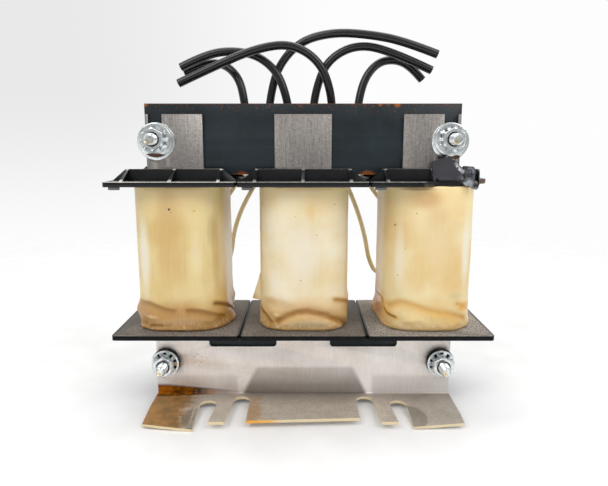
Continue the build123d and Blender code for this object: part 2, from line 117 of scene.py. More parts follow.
def plug(tree, value, socket):
    # The value is a wire, a plain number or vector, or a colour's hex text.
    if isinstance(value, Wire):
        tree.links.new(value.socket, socket)
    else:
        socket.default_value = rgb(value) if isinstance(value, str) else value


def addNode(tree, kind, inputs=None, **settings):
    made = tree.nodes.new(kind)
    for key, value in settings.items():
        setattr(made, key, value)
    for key, value in (inputs or {}).items():
        plug(tree, value, made.inputs[key])
    return made


def make(tree, kind, inputs=None, output=0, **settings):
    return Wire(tree, addNode(tree, kind, inputs, **settings).outputs[output])


def calc(operation, a, b=0.0, clamp=False):
    tree = (a if isinstance(a, Wire) else b).tree
    return make(tree, "ShaderNodeMath", {0: a, 1: b}, operation=operation, use_clamp=clamp)


def most(first, *others):
    for other in others:
        first = calc("MAXIMUM", first, other)
    return first


def mix(factor, a, b):
    tree = next(value.tree for value in (factor, a, b) if isinstance(value, Wire))
    return make(tree, "ShaderNodeMix", {0: factor, 6: a, 7: b}, 2, data_type="RGBA")


def split(wire):
    parts = addNode(wire.tree, "ShaderNodeSeparateXYZ", {0: wire})
    return [Wire(wire.tree, socket) for socket in parts.outputs]


def noiseAt(vector, scale, detail=2.0, roughness=0.5):
    return make(vector.tree, "ShaderNodeTexNoise",
                {"Vector": vector, "Scale": scale, "Detail": detail, "Roughness": roughness})


def rampOf(factor, stops):
    made = addNode(factor.tree, "ShaderNodeValToRGB", {"Fac": factor})
    for element, (place, colour) in zip(made.color_ramp.elements, (stops[0], stops[-1])):
        element.position, element.color = place, rgb(colour)
    for place, colour in stops[1:-1]:
        made.color_ramp.elements.new(place).color = rgb(colour)
    return Wire(factor.tree, made.outputs["Color"])


def newTree(kind, name, inputs, output):
    # Each input has its kind of socket and, where there is one, its usual value.
    tree = bpy.data.node_groups.new(name, kind)
    for label, (socketKind, usual) in inputs.items():
        socket = tree.interface.new_socket(name=label, in_out="INPUT", socket_type=f"NodeSocket{socketKind}")
        if usual is not None:
            socket.default_value = usual
    tree.interface.new_socket(name=output[0], in_out="OUTPUT", socket_type=f"NodeSocket{output[1]}")
    source, result = tree.nodes.new("NodeGroupInput"), tree.nodes.new("NodeGroupOutput")
    return tree, {label: Wire(tree, source.outputs[label]) for label in inputs}, result.inputs[0]


# Shader effects that several materials share

def newEffect(name, inputs):
    kinds = {label: ("Float" if isinstance(usual, float) else "Vector", usual) for label, usual in inputs.items()}
    return newTree("ShaderNodeTree", name, {"Vector": ("Vector", None), **kinds}, ("Mask", "Float"))


def makeSpeckle():
    # Fine and coarse noise together, as the mottling of worn metal or plastic.
    tree, given, end = newEffect("speckle", {"Fine Scale": 2500.0, "Coarse Scale": 180.0, "Balance": 0.5})
    fine = noiseAt(given["Vector"], given["Fine Scale"], 3.0)
    coarse = noiseAt(given["Vector"], given["Coarse Scale"], 4.0)
    plug(tree, make(tree, "ShaderNodeMix", {0: given["Balance"], 2: fine, 3: coarse}), end)
    return tree


def makeStreaks():
    # Noise drawn out along one way of the surface, as brush marks or runs of varnish.
    tree, given, end = newEffect("streaks", {"Stretch": (1.0, 1.0, 0.05), "Scale": 900.0, "Detail": 3.0})
    drawn = make(tree, "ShaderNodeVectorMath", {0: given["Vector"], 1: given["Stretch"]}, operation="MULTIPLY")
    plug(tree, noiseAt(drawn, given["Scale"], given["Detail"]), end)
    return tree


def makePatch():
    # Soft-edged, ragged patch round one place: full inside Radius, gone at Radius plus Fade.
    tree, given, end = newEffect("patch", {
        "Centre": (0.0, 0.0, 0.0), "Shape": (1.0, 1.0, 1.0), "Radius": 3 * mm, "Fade": 2 * mm,
        "Raggedness": 1.5 * mm, "Grain": 400.0})
    away = make(tree, "ShaderNodeVectorMath", {0: given["Vector"], 1: given["Centre"]}, operation="SUBTRACT")
    shaped = make(tree, "ShaderNodeVectorMath", {0: away, 1: given["Shape"]}, operation="MULTIPLY")
    far = make(tree, "ShaderNodeVectorMath", {0: shaped}, "Value", operation="LENGTH")
    moved = far + (noiseAt(given["Vector"], given["Grain"], 4.0) - 0.5) * (given["Raggedness"] * 4.0)
    plug(tree, moved.remap(given["Radius"] + given["Fade"], given["Radius"]), end)
    return tree


def makeDust():
    # Dust that settles where the surface faces up, broken by noise.
    tree, given, end = newEffect("settledDust", {"Upward": 0.0, "Amount": 0.6, "Scale": 500.0})
    broken = noiseAt(given["Vector"], given["Scale"], 5.0).remap(0.3, 0.65)
    plug(tree, given["Upward"].remap(0.45, 0.95) * broken * given["Amount"], end)
    return tree


effects = dict(speckle=makeSpeckle(), streaks=makeStreaks(), patch=makePatch(), dust=makeDust())


class Paint:
    # A material with the place on the object and the way its surface faces there.
    def __init__(self, name):
        self.material = bpy.data.materials.new(name)
        self.material.use_nodes = True
        self.tree = self.material.node_tree
        self.shader = self.tree.nodes["Principled BSDF"]
        coords = addNode(self.tree, "ShaderNodeTexCoord").outputs
        self.place = Wire(self.tree, coords["Object"])
        self.x, self.y, self.z = split(self.place)
        self.facing = split(Wire(self.tree, coords["Normal"]))

    def noise(self, scale, detail=2.0, roughness=0.5):
        return noiseAt(self.place, scale, detail, roughness)

    def use(self, effect, inputs):
        return make(self.tree, "ShaderNodeGroup", {"Vector": self.place, **inputs}, node_tree=effects[effect])

    def speckle(self, fine, coarse, balance):
        return self.use("speckle", {"Fine Scale": fine, "Coarse Scale": coarse, "Balance": balance})

    def streaks(self, stretch, scale, detail):
        return self.use("streaks", {"Stretch": stretch, "Scale": scale, "Detail": detail})

    def dust(self, amount, scale):
        return self.use("dust", {"Upward": self.facing[2], "Amount": amount, "Scale": scale})

    def patch(self, centre, radius, fade, ragged=0.8, shape=(1, 1, 1), grain=400):
        # Sizes in millimetres, to read like the part's own drawing.
        return self.use("patch", {"Centre": [c * mm for c in centre], "Radius": radius * mm, "Fade": fade * mm,
                                  "Raggedness": ragged * mm, "Shape": shape, "Grain": grain})

    def bump(self, height, strength, distance):
        return make(self.tree, "ShaderNodeBump", {"Height": height, "Strength": strength, "Distance": distance})

    def put(self, values):
        for key, value in values.items():
            plug(self.tree, value, self.shader.inputs[key])
        return self.material


def addPiece(name, data, stands=None):
    piece = bpy.data.objects.new(name, data)
    scene.collection.objects.link(piece)
    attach(piece, "root")
    if stands:
        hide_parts(stands)
    return piece


def meshFrom(name, points, faces, smooth=True):
    mesh = bpy.data.meshes.new(name)
    mesh.from_pydata(points, [], faces)
    mesh.validate()
    if smooth:
        mesh.shade_smooth()
    return mesh


def finishTree(tree, parts, material, end, flat=False):
    joined = addNode(tree, "GeometryNodeJoinGeometry")
    for part in parts:
        plug(tree, part, joined.inputs["Geometry"])
    whole = make(tree, "GeometryNodeRealizeInstances", {"Geometry": Wire(tree, joined.outputs[0])})
    if flat:
        whole = make(tree, "GeometryNodeSetShadeSmooth", {"Geometry": whole, "Shade Smooth": False})
    plug(tree, make(tree, "GeometryNodeSetMaterial", {"Geometry": whole, "Material": material}), end)
    return tree


def meshOf(holder):
    # The holder's finished mesh, with its modifiers applied. The holder itself goes.
    mesh = bpy.data.meshes.new_from_object(holder.evaluated_get(bpy.context.evaluated_depsgraph_get()))
    bpy.data.objects.remove(holder)
    return mesh


def runTree(name, tree, values):
    # Runs a Geometry Nodes tree once and gives back its result as a plain mesh.
    holder = bpy.data.objects.new(name, bpy.data.meshes.new(name))
    scene.collection.objects.link(holder)
    modifier = holder.modifiers.new("build", "NODES")
    modifier.node_group = tree
    for socket in tree.interface.items_tree:
        if socket.in_out == "INPUT" and socket.name in values:
            modifier[socket.identifier] = values[socket.name]
    mesh = meshOf(holder)
    mesh.name = name
    return mesh


def placeAlong(mesh, point, direction):
    # Moves a mesh built on the Z axis to a point and turns its axis to a direction.
    turn = Vector(direction).to_track_quat("Z", "Y").to_matrix().to_4x4()
    turn.translation = Vector(point)
    mesh.transform(turn)


# Leads: six stiff black cables that rise behind the yoke and bow out to both sides

leadLook = dict(diameter=5.0 * mm, colour="0b0c0e", sheen="1b1d20", dust="6d6a66", roughness=0.25,
                coreRadius=1.45 * mm, strandRadius=0.29 * mm, strandOut=0.25 * mm)
leadFoot = 148.0
# Lengths and places are in millimetres.
leads = {
    "a": (108.7, [(-7.8, 25, leadFoot), (-7.8, 25, 162), (-10.2, 23, 177.5), (-15.6, 24, 191.5),
                  (-27.0, 26, 201.2), (-42.0, 27, 204.3), (-58.5, 27, 202.3), (-74.4, 27, 194.5)]),
    "b": (79.6, [(-34.8, 26, leadFoot), (-34.8, 26, 161), (-35.8, 24.5, 174.5), (-38.6, 26.5, 187.0),
                 (-45.5, 29.5, 195.2), (-54.5, 31.5, 198.2), (-64.4, 32.8, 195.6), (-73.3, 33, 191.8)]),
    "c": (140.5, [(18.0, 25, leadFoot), (18.0, 25, 162), (16.8, 21.5, 180.5), (9.6, 20, 197.5),
                  (-6.8, 19, 207.0), (-26.6, 18, 204.3), (-49.3, 17.5, 195.4), (-74.1, 17.5, 184.1)]),
    "d": (151.5, [(-21.8, 28, leadFoot), (-21.8, 28, 161.5), (-20.2, 30, 178), (-15.4, 29.5, 195.5),
                  (-2.2, 27.5, 209.6), (17.0, 24, 214.2), (38.5, 22, 212.8), (60.0, 20.5, 208.6),
                  (79.8, 20, 201.0)]),
    "e": (118.7, [(5.6, 27, leadFoot), (5.6, 27, 162), (7.4, 28, 180.5), (14.4, 26.5, 198.6),
                  (32.0, 25, 207.8), (53.5, 24, 203.4), (77.5, 24, 192.4)]),
    "f": (85.1, [(33.0, 26, leadFoot), (33.0, 26, 161), (34.2, 27.5, 176), (38.2, 29, 189.4),
                 (46.4, 30.2, 198.4), (57.2, 31, 199.8), (66.6, 31, 195.4), (73.5, 31, 187.6)]),
}


def routeCurve(name, points, radius):
    curve = bpy.data.curves.new(name, "CURVE")
    curve.dimensions = "3D"
    curve.resolution_u = 24
    curve.bevel_depth = radius
    curve.bevel_resolution = 8
    curve.use_fill_caps = True
    spline = curve.splines.new("NURBS")
    spline.points.add(len(points) - 1)
    for point, place in zip(spline.points, points):
        point.co = (*[c * mm for c in place], 1)
    spline.order_u = 3
    spline.use_endpoint_u = True
    return curve


def makeLeadMaterial():
    paint, rough = Paint("leadInsulation"), leadLook["roughness"]
    grain = paint.speckle(1800, 120, 0.6)
    colour = mix(grain.remap(0.35, 0.7), leadLook["colour"], leadLook["sheen"])
    return paint.put({"Base Color": mix(paint.dust(0.12, 900), colour, leadLook["dust"]),
                      "Roughness": grain.remap(0.3, 0.7, rough - 0.06, rough + 0.1),
                      "Normal": paint.bump(grain, 0.12, 0.2 * mm)})


def makeCopperMaterial():
    paint = Paint("copperStrands")
    tarnish = paint.speckle(3000, 700, 0.5)
    return paint.put({"Base Color": rampOf(tarnish, [(0.3, "5c3a26"), (0.55, "a8663f"), (0.75, "c98a5c")]),
                      "Metallic": 1.0, "Roughness": tarnish.remap(0.3, 0.7, 0.45, 0.28)})


def strandTree(material):
    # Round bundle of wires: one in the middle and two rings, each wire a short capped rod.
    tree, size, end = newTree("GeometryNodeTree", "strandBundle", {
        "Geometry": ("Geometry", None), "Bundle Radius": ("Float", None), "Strand Radius": ("Float", None),
        "Strand Length": ("Float", None)}, ("Geometry", "Geometry"))
    rod = make(tree, "GeometryNodeMeshCylinder", {"Vertices": 10, "Side Segments": 1,
                                                  "Radius": size["Strand Radius"], "Depth": size["Strand Length"]})
    rings = []
    for count, share in ((1, 0.0), (6, 0.42), (12, 0.81)):
        points = make(tree, "GeometryNodeMeshCircle", {"Vertices": max(count, 3),
                                                       "Radius": size["Bundle Radius"] * share})
        if count == 1:
            points = make(tree, "GeometryNodeMergeByDistance", {"Geometry": points, "Distance": 0.05 * mm})
        rings.append(make(tree, "GeometryNodeInstanceOnPoints", {"Points": points, "Instance": rod}))
    return finishTree(tree, rings, material, end)


def makeLeads():
    insulation, bundle = makeLeadMaterial(), strandTree(makeCopperMaterial())
    for name, (length, points) in leads.items():
        curve = routeCurve(f"lead_{name}", points, leadLook["diameter"] / 2)
        curve.materials.append(insulation)
        lead = addPiece(f"lead_cable_{name}", curve, f"lead_{name}")
        end = Vector(points[-1]) * mm
        way = (end - Vector(points[-2]) * mm).normalized()
        strands = runTree(f"lead_strands_{name}", bundle, {
            "Bundle Radius": leadLook["coreRadius"], "Strand Radius": leadLook["strandRadius"],
            "Strand Length": 4 * leadLook["strandOut"]})
        placeAlong(strands, end - way * leadLook["strandOut"], way)
        core = addPiece(f"lead_strands_{name}", strands)


makeLeads()
print("leads ready")


# Core: a stack of thin dark sheets, with rust where the varnish has worn through

coreLook = dict(face="10191d", smudge="202e35", edge="090d0f", rust="6e3c1a", freshRust="b0621f",
                sheet=0.5 * mm)
# Rust spots on the front face: across and up, radius, fade, raggedness, shape and grain.
coreSpots = [(41.5, 169.9, 0.7, 0.9, 0.5, (1, 1, 1), 700), (50.6, 169.8, 1.0, 1.0, 0.5, (1, 1, 1), 700),
             (46.0, 170.0, 0.3, 0.8, 0.4, (1, 1, 1), 700), (-85.0, 169.8, 0.6, 1.2, 0.5, (1, 1, 1), 700),
             (-33.6, 130.4, 2.6, 2.0, 0.9, (0.75, 1, 1.2), 400), (35.6, 130.4, 2.8, 2.0, 0.9, (0.7, 1, 1.2), 400),
             (-7.0, 136.4, 0.7, 0.8, 0.4, (1, 1, 1), 400)]


def makeCoreMaterial():
    paint, look = Paint("varnishedCore"), coreLook
    mottle, worn, fine = paint.speckle(1600, 45, 0.72), paint.noise(90, 5), paint.noise(260, 4)
    colour = mix(mottle.remap(0.36, 0.68), look["face"], look["smudge"])
    # Sheet edges show on every side but the front and back.
    onEdge = abs(paint.facing[1]).remap(0.8, 0.4)
    line = calc("PINGPONG", paint.y, look["sheet"]).remap(0.06 * mm, 0.16 * mm)
    colour = mix(onEdge * (1 - line), colour, look["edge"])
    edgeRust = onEdge * worn.remap(0.5, 0.66)
    # Thin rusty line along the top of the front face, and the spots that sit on it.
    topLine = (paint.z + (worn - 0.5) * (1.2 * mm)).remap(coreTop - 0.75 * mm, coreTop - 0.35 * mm)
    topLine = topLine * fine.remap(0.3, 0.6, 0.35, 0.95)
    flecks = paint.noise(1100, 1).remap(0.62, 0.68) * paint.z.remap(coreTop - 7 * mm, coreTop - 1 * mm, 0.0, 0.3)
    spots = most(*[paint.patch((x, -15.9, z), *rest) for x, z, *rest in coreSpots], flecks)
    colour = mix(most(topLine, edgeRust) * 0.65, colour, look["rust"])
    colour = mix(spots, colour, mix(fine.remap(0.35, 0.65), look["rust"], look["freshRust"]))
    return paint.put({"Base Color": colour, "Specular IOR Level": 0.35,
                      "Roughness": most(topLine, edgeRust, spots).remap(0.0, 1.0, 0.44, 0.85),
                      "Normal": paint.bump(mottle * 0.25 + onEdge * line, 0.35, 0.12 * mm)})


# Bracket sheet: plain satin steel, speckled on the straps and stained on the foot, with painted reflections on the
# bar and a painted highlight on the foot's cut edges

bracketLook = dict(strap="d4cec9", strapDark="8e8782", strapLow="6a6663", sparkle="efebe6",
                   bar="fffaf6", barDark="e8e0da", barFootReflection="746a60", specks="6a625c",
                   foot="f4eadc", footBend="7c7268", footDark="d0c4b4", print="5a544c", scratch="efe6d4",
                   olive="c89038", oliveDark="a0762e", rust="4a2c06", freshRust="a8600a",
                   cutEdgeHighlight="f2e4c4", amberEdge="ffc448")


def makeBracketMaterial(name, side):
    # side is 1 for the front sheet and -1 for the one behind it.
    paint, look = Paint(name), bracketLook
    x, up, depth = paint.x, paint.z, paint.y * float(side)
    cloudy, blotch = paint.noise(38, 3), paint.noise(150, 6, 0.65)
    texture = paint.speckle(2600, 520, 0.35) * 0.65 + paint.streaks((1, 1, 0.06), 1500, 3) * 0.35
    strap = mix(texture.remap(0.38, 0.62), look["strapDark"], look["strap"])
    strap = mix(up.remap(158 * mm, 138 * mm, 0.0, 0.44), strap, look["strapLow"])
    strap = mix(paint.noise(1500).remap(0.6, 0.74, 0.0, 0.6), strap, look["sparkle"])
    # The bar is painted paler than the straps, a painted reflection of the white floor.
    bar = mix((cloudy * 0.6 + texture * 0.4).remap(0.35, 0.6), look["barDark"], look["bar"])
    # Low on the bar a dark band is a painted reflection of the middle of the foot, and a faint one of its ears.
    across = abs(x - 0.9 * mm)
    inBand = (across + up * 0.5).remap(40.0 * mm, 36.5 * mm, smooth=True)
    band = inBand * up.remap(21.8 * mm, 19.2 * mm, smooth=True)
    ears = across.remap(38.0 * mm, 41.0 * mm, smooth=True) * up.remap(17.0 * mm, 13.5 * mm, smooth=True)
    bar = mix(ears * up.remap(17.0 * mm, 8.0 * mm, 0.16, 0.3), bar, look["barFootReflection"])
    bar = mix(band * up.remap(21.0 * mm, 9.0 * mm, 0.28, 0.78), bar, look["barFootReflection"])
    metal = mix(up.remap(60 * mm, 120 * mm), bar, strap)
    # The foot is dull and mottled, and brownest at its left end.
    onFoot = up.remap(8.0 * mm, 4.8 * mm) * depth.remap(-18.2 * mm, -20.0 * mm)
    mottled = mix((blotch * 0.3 + texture * 0.7).remap(0.38, 0.62), look["footDark"], look["foot"])
    mottled = mix(depth.remap(-34 * mm, -20 * mm, 0.0, 0.55), mottled, look["footBend"])
    mottled = mix(x.remap(45 * mm, 75 * mm, 0.0, 0.32), mottled, look["footBend"])
    leftEnd = (x + (blotch - 0.5) * (20 * mm)).remap(-60 * mm, -68 * mm) if side == 1 else 0.15
    olive = mix(blotch.remap(0.4, 0.6), look["oliveDark"], look["olive"])
    metal = mix(onFoot * 0.9, metal, mix(leftEnd * 0.92, mottled, olive))
    # The shorn edges of the foot are painted pale: a painted highlight where the front light catches them.
    shorn = abs(paint.facing[2]).remap(0.45, 0.2) * depth.remap(-20 * mm, -22 * mm)
    metal = mix(shorn, metal, look["cutEdgeHighlight"])
    fresh = blotch.remap(0.4, 0.6)
    if side == 1:
        # Dull round prints, dirt above the left nut, a scratch and an amber stain with its edge.
        prints = most(paint.patch((-55.0, -45.5, 4.6), 10.2, 1.0, 0.3, (1, 1, 0)),
                      paint.patch((55.0, -44.9, 4.6), 11.6, 0.9, 0.3, (1, 1, 0)))
        prints = prints * abs(x).remap(52 * mm, 54 * mm) * (1 - shorn)
        specks = paint.noise(800).remap(0.6, 0.66) * paint.patch((-61.0, -17.0, 25.0), 2.0, 5.0, 1.0)
        scratch = paint.patch((-60.5, -42.0, 4.6), 0.2, 0.5, 0.15, (1, 0.07, 0))
        amber = paint.patch((-27.5, -42.0, 4.6), 2.0, 4.5, 1.2, (1, 0.25, 0))
        lip = paint.patch((-24.0, -52.0, 3.0), 6.0, 6.0, 0.8)
        for mark, tone in ((prints * onFoot * 0.36, "print"), (specks * 0.7, "specks"),
                           (scratch * onFoot * 0.6, "scratch"), (amber * onFoot * 0.5, "olive"),
                           (lip * (shorn * 0.75), "amberEdge")):
            metal = mix(mark, metal, look[tone])
        # Rust ran down the left bend, and is darkest along the two sides of the run.
        reach = x.remap(-38 * mm, -80 * mm, 1.2 * mm, 5.6 * mm)
        fromBend = abs((up - 4.6 * mm) - (depth + 17.6 * mm)) / reach
        rust = x.remap(-34 * mm, -62 * mm) * fromBend.remap(1.0, 0.72) * blotch.remap(0.22, 0.4, 0.55, 1.0)
        fresh = fresh * fromBend.remap(0.9, 0.5)
    else:
        rust = onFoot * paint.noise(60, 6).remap(0.6, 0.72, 0.0, 0.7)
    rough = texture.remap(0.35, 0.65, 0.42, 0.28) + onFoot * 0.12 + up.remap(60 * mm, 45 * mm, 0.0, 0.2)
    return paint.put({"Base Color": mix(rust, metal, mix(fresh, look["rust"], look["freshRust"])),
                      "Metallic": calc("SUBTRACT", 1.0, rust, clamp=True),
                      "Specular IOR Level": 0.5 - rust * 0.4,
                      "Roughness": calc("ADD", rough, rust * 0.4, clamp=True),
                      "Normal": paint.bump(texture, 0.16, 0.12 * mm)})


# Zinc-plated fasteners

zincLook = dict(bright="f4f8f9", dull="c4cacc", tip="d2b456", stain="8f8468", rust="4e2a08", roughness=0.26,
                boreDark="1e2022", borePale="3c4042")


def makeZincMaterial():
    paint, look, rough = Paint("zincPlate"), zincLook, zincLook["roughness"]
    grit = paint.speckle(3200, 420, 0.6)
    colour = mix(grit.remap(0.36, 0.66), look["dull"], look["bright"])
    # Yellow passivation is left on the stud tips; rust creeps out under two washers.
    tipAt = (plateFront - boltLook["studFront"]) / mm
    tips = most(*[paint.patch((at.x / mm - 0.5, tipAt, at.z / mm - 1.3), 0.4, 1.2, 0.1)
                  for at in boltSpots.values()])
    colour = mix(tips * 0.8, colour, look["tip"])
    left, right = boltSpots["upper_left"] / mm, boltSpots["upper_right"] / mm
    across, above = paint.x - left.x * mm, paint.z - left.z * mm
    # The wide washer's rim stays bright round the stain.
    inside = calc("SQRT", across * across + above * above).remap(9.8 * mm, 9.4 * mm)
    rust = most(inside * paint.patch((left.x - 0.6, -19.4, left.z - 9.0), 1.5, 0.5, 0.2, (0.3, 0.3, 1.0)),
                paint.patch((right.x + 3.2, -19.4, right.z - 9.4), 0.9, 0.4, 0.2, (0.45, 0.3, 1.0)))
    colour = mix(paint.noise(320, 5).remap(0.56, 0.7) * 0.5, colour, look["stain"])
    polish = grit.remap(0.35, 0.65, rough + 0.08, rough - 0.06)
    return paint.put({"Base Color": mix(rust, colour, look["rust"]), "Metallic": 1 - rust * 0.8,
                      "Roughness": polish - rust * 0.1, "Normal": paint.bump(grit, 0.12, 0.1 * mm)})


def makeBoreMaterial():
    # The inside of a nut's bore is painted dark zinc: painted shade round the stud.
    paint = Paint("shadedBore")
    grit = paint.speckle(3000, 400, 0.5)
    return paint.put({"Base Color": rampOf(grit, [(0.3, zincLook["boreDark"]), (0.7, zincLook["borePale"])]),
                      "Metallic": 0.7, "Roughness": grit.remap(0.3, 0.7, 0.5, 0.4)})


# Bobbins: black moulded plastic under dust, with painted highlights on the rims and a painted reflection on the
# right flange

bobbinLook = dict(black="08090b", scuffed="17181c", paleDustAndHighlight="ece6da", roughness=0.3, torn="3c3c41",
                  facet="96999f", snapped="54402f", pale="dcdce0", nub="7c7e80",
                  dust=dict(left="b0a59a", centre="aaa094", right="ddd3c7", washers="8f857a"))
# Pale places on the broken corner: centre, radius, fade and colour.
tornPlaces = [((89.0, -26.0, 134.4), 1.2, 1.4, "8a8c9a"), ((87.6, -27.0, 128.2), 1.4, 2.0, "a8aeb4"),
              ((92.2, -27.0, 129.2), 0.8, 0.8, "b09a7c")]


def paintTornCorner(paint, colour):
    # The torn plastic is painted greyer, with pale facets and pale spots.
    look, x, z = bobbinLook, paint.x, paint.z
    flap = paint.patch((79.5, -28.0, 134.0), 11.0, 2.0, 0.2) * z.remap(129.2 * mm, 130.4 * mm)
    colour = mix(flap, colour, look["torn"])
    facets = make(paint.tree, "ShaderNodeTexVoronoi", {"Vector": paint.place, "Scale": 420.0}, "Color")
    facet = split(facets)[0]
    crushed = paint.patch((89.5, -24.0, 131.0), 5.0, 3.0, 0.6, grain=700)
    colour = mix(crushed * facet.remap(0.5, 0.95, 0.0, 0.4), colour, look["facet"])
    for centre, radius, fade, tone in tornPlaces:
        spot = paint.patch(centre, radius, fade, 0.5, (1, 0.12, 1), grain=900)
        colour = mix(spot * facet.remap(0.1, 0.8, 0.35, 1.0), colour, tone)
    # The snapped edge of the flange that is left standing is brown.
    snapped = x.remap(95.0 * mm, 95.4 * mm) * z.remap(100 * mm, 101 * mm) * paint.y.remap(-2 * mm, -4 * mm)
    colour = mix(snapped, colour, look["snapped"])
    # Pale streaks are painted down the torn side of the flap.
    right, above = x - 83.5 * mm, z - 135.8 * mm
    off, along = abs(right * 0.67 + above * 0.74), abs(right * 0.74 - above * 0.67)
    flecks = paint.noise(700, 3).remap(0.44, 0.56)
    return mix(off.remap(1.3 * mm, 0.5 * mm) * along.remap(4.4 * mm, 3.2 * mm) * flecks, colour, look["pale"])


def makeBobbinMaterial(side):
    paint, look = Paint(f"bobbinPlastic_{side}"), bobbinLook
    x, z, upward, depth = paint.x, paint.z, paint.facing[2], abs(paint.y)
    grain = paint.speckle(2200, 200, 0.55)
    colour = mix(grain.remap(0.4, 0.7), look["black"], look["scuffed"])
    dust = paint.dust(0.95, 1250)
    lowDustAndReflection = dust * z.remap(60 * mm, 50 * mm) * paint.noise(55, 3).remap(0.35, 0.7, 1.0, 0.8)
    lowDustAndReflection = lowDustAndReflection * upward.remap(0.9, 0.99)
    if side in coilMiddles:
        # The dust stops short of the flange's sides.
        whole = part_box("bobbin_left")
        reach = (whole[1].x - whole[0].x) / 2
        lowDustAndReflection = lowDustAndReflection * abs(x - coilMiddles[side]).remap(reach - 0.5 * mm, reach - 1.6 * mm)
    # Dust on the lower flange; on the right flange its paler colour is also a painted reflection.
    colour = mix(lowDustAndReflection * 0.9, colour, look["dust"][side])
    # Above, dust and a painted highlight lie on the front strip of the flange and on the top of the rim.
    strip = depth.remap(30.5 * mm, 33.5 * mm) * z.remap(120 * mm, 125 * mm)
    highDustAndHighlight = most(z.remap(134.6 * mm, 135.2 * mm), strip) * dust
    if side == "left":
        highDustAndHighlight = calc("MULTIPLY", highDustAndHighlight, 2.4, clamp=True)
    colour = mix(highDustAndHighlight, colour, look["paleDustAndHighlight"])
    if side == "right":
        colour = paintTornCorner(paint, colour)
    nub = z.remap(126.3 * mm, 126.0 * mm) * (z.remap(100 * mm, 101 * mm) * depth.remap(28.4 * mm, 28.8 * mm))
    return paint.put({"Base Color": mix(nub * 0.8, colour, look["nub"]),
                      "Roughness": most(lowDustAndReflection, highDustAndHighlight).remap(0.0, 0.8, look["roughness"], 0.85),
                      "Specular IOR Level": z.remap(60 * mm, 50 * mm, 0.38, 0.12),
                      "Normal": paint.bump(grain, 0.2, 0.15 * mm)})


def makeBoardMaterial():
    paint = Paint("insulationBoard")
    fibres = paint.speckle(1500, 300, 0.4)
    return paint.put({"Base Color": rampOf(fibres, [(0.3, "5e4226"), (0.6, "8a6539"), (0.8, "a07a4a")]),
                      "Roughness": 0.7, "Normal": paint.bump(fibres, 0.2, 0.2 * mm)})


def makeWindingMaterial():
    paint = Paint("enamelledWire")
    turns = calc("PINGPONG", paint.z, 0.8 * mm)
    colour = rampOf(paint.speckle(900, 150, 0.5), [(0.3, "6e3218"), (0.55, "9a4d24"), (0.8, "b86a38")])
    return paint.put({"Base Color": mix(turns.remap(0.0, 0.3 * mm, 0.6, 0.0), colour, "2c130a"),
                      "Metallic": 0.6, "Roughness": 0.32,
                      "Normal": paint.bump(turns.remap(0.0, 0.8 * mm), 0.8, 0.3 * mm)})


def makeSleevingMaterial():
    paint = Paint("varnishedSleeving")
    weave = paint.speckle(2400, 90, 0.5)
    return paint.put({"Base Color": rampOf(weave, [(0.3, "dccb9c"), (0.5, "efe3c2"), (0.75, "f8f1dc")]),
                      "Roughness": weave.remap(0.3, 0.7, 0.6, 0.42), "Normal": paint.bump(weave, 0.4, 0.3 * mm)})


# Rigid pieces: a CAD piece whose sharp edges are softened as a press or mould leaves them

def soften(node, material, width, segments=2):
    mesh = cad[node].data.copy()
    work = bmesh.new()
    work.from_mesh(mesh)
    bmesh.ops.remove_doubles(work, verts=work.verts, dist=0.004 * mm)
    bmesh.ops.dissolve_limit(work, angle_limit=math.radians(0.8), verts=work.verts, edges=work.edges)
    work.to_mesh(mesh)
    work.free()
    mesh.materials.clear()
    mesh.materials.append(material)
    mesh.shade_smooth()
    holder = bpy.data.objects.new(node, mesh)
    scene.collection.objects.link(holder)
    rounding = holder.modifiers.new("round", "BEVEL")
    rounding.width, rounding.segments = width, segments
    rounding.limit_method, rounding.angle_limit = "ANGLE", math.radians(32)
    rounding.harden_normals = True
    rounding.miter_outer = "MITER_ARC"
    addPiece(f"{node}_finished", meshOf(holder), node)


def dress(node, material):
    cad[node].data.materials.clear()
    cad[node].data.materials.append(material)


def makeRigidPieces():
    core, board = makeCoreMaterial(), makeBoardMaterial()
    soften("core_legs", core, 0.25 * mm)
    soften("upper_yoke", core, 0.25 * mm)
    soften("front_bracket", makeBracketMaterial("bracketSteelFront", 1), 0.18 * mm)
    soften("rear_bracket", makeBracketMaterial("bracketSteelRear", -1), 0.18 * mm)
    for side in coilMiddles:
        soften(f"bobbin_{side}", makeBobbinMaterial(side), 0.22 * mm)
    moulded = makeBobbinMaterial("washers")
    for starts, material, slot in ((("wide_washer", "flat_washer", "rear_washer"), zinc, "zinc_plated_steel"),
                                   ("insulating_washer", moulded, "bobbin_plastic")):
        for node in [name for name in cad if name.startswith(starts)]:
            soften(node, material, 0.3 * mm, 3)
    for start, material in dict(lock_washer=zinc, gap_spacer=board, bolt_sleeve=board,
                                winding=makeWindingMaterial(), sleeving=makeSleevingMaterial()).items():
        for node in [name for name in cad if name.startswith(start)]:
            dress(node, material)


# Bolts and nuts

boltLook = dict(pitch=1.27 * mm, majorRadius=3.175 * mm, threadReach=0.56 * mm, acrossFlats=11.1 * mm,
                nutHeight=5.5 * mm, headHeight=4.2 * mm, tipChamfer=0.8 * mm, studFront=15.6 * mm,
                threadedLength=22.0 * mm, hexChamfer=0.75 * mm, edgeBreak=0.4 * mm, boreChamfer=0.65 * mm)
hexSides = 96

zinc = makeZincMaterial()
makeRigidPieces()
print("core, brackets and bobbins ready")


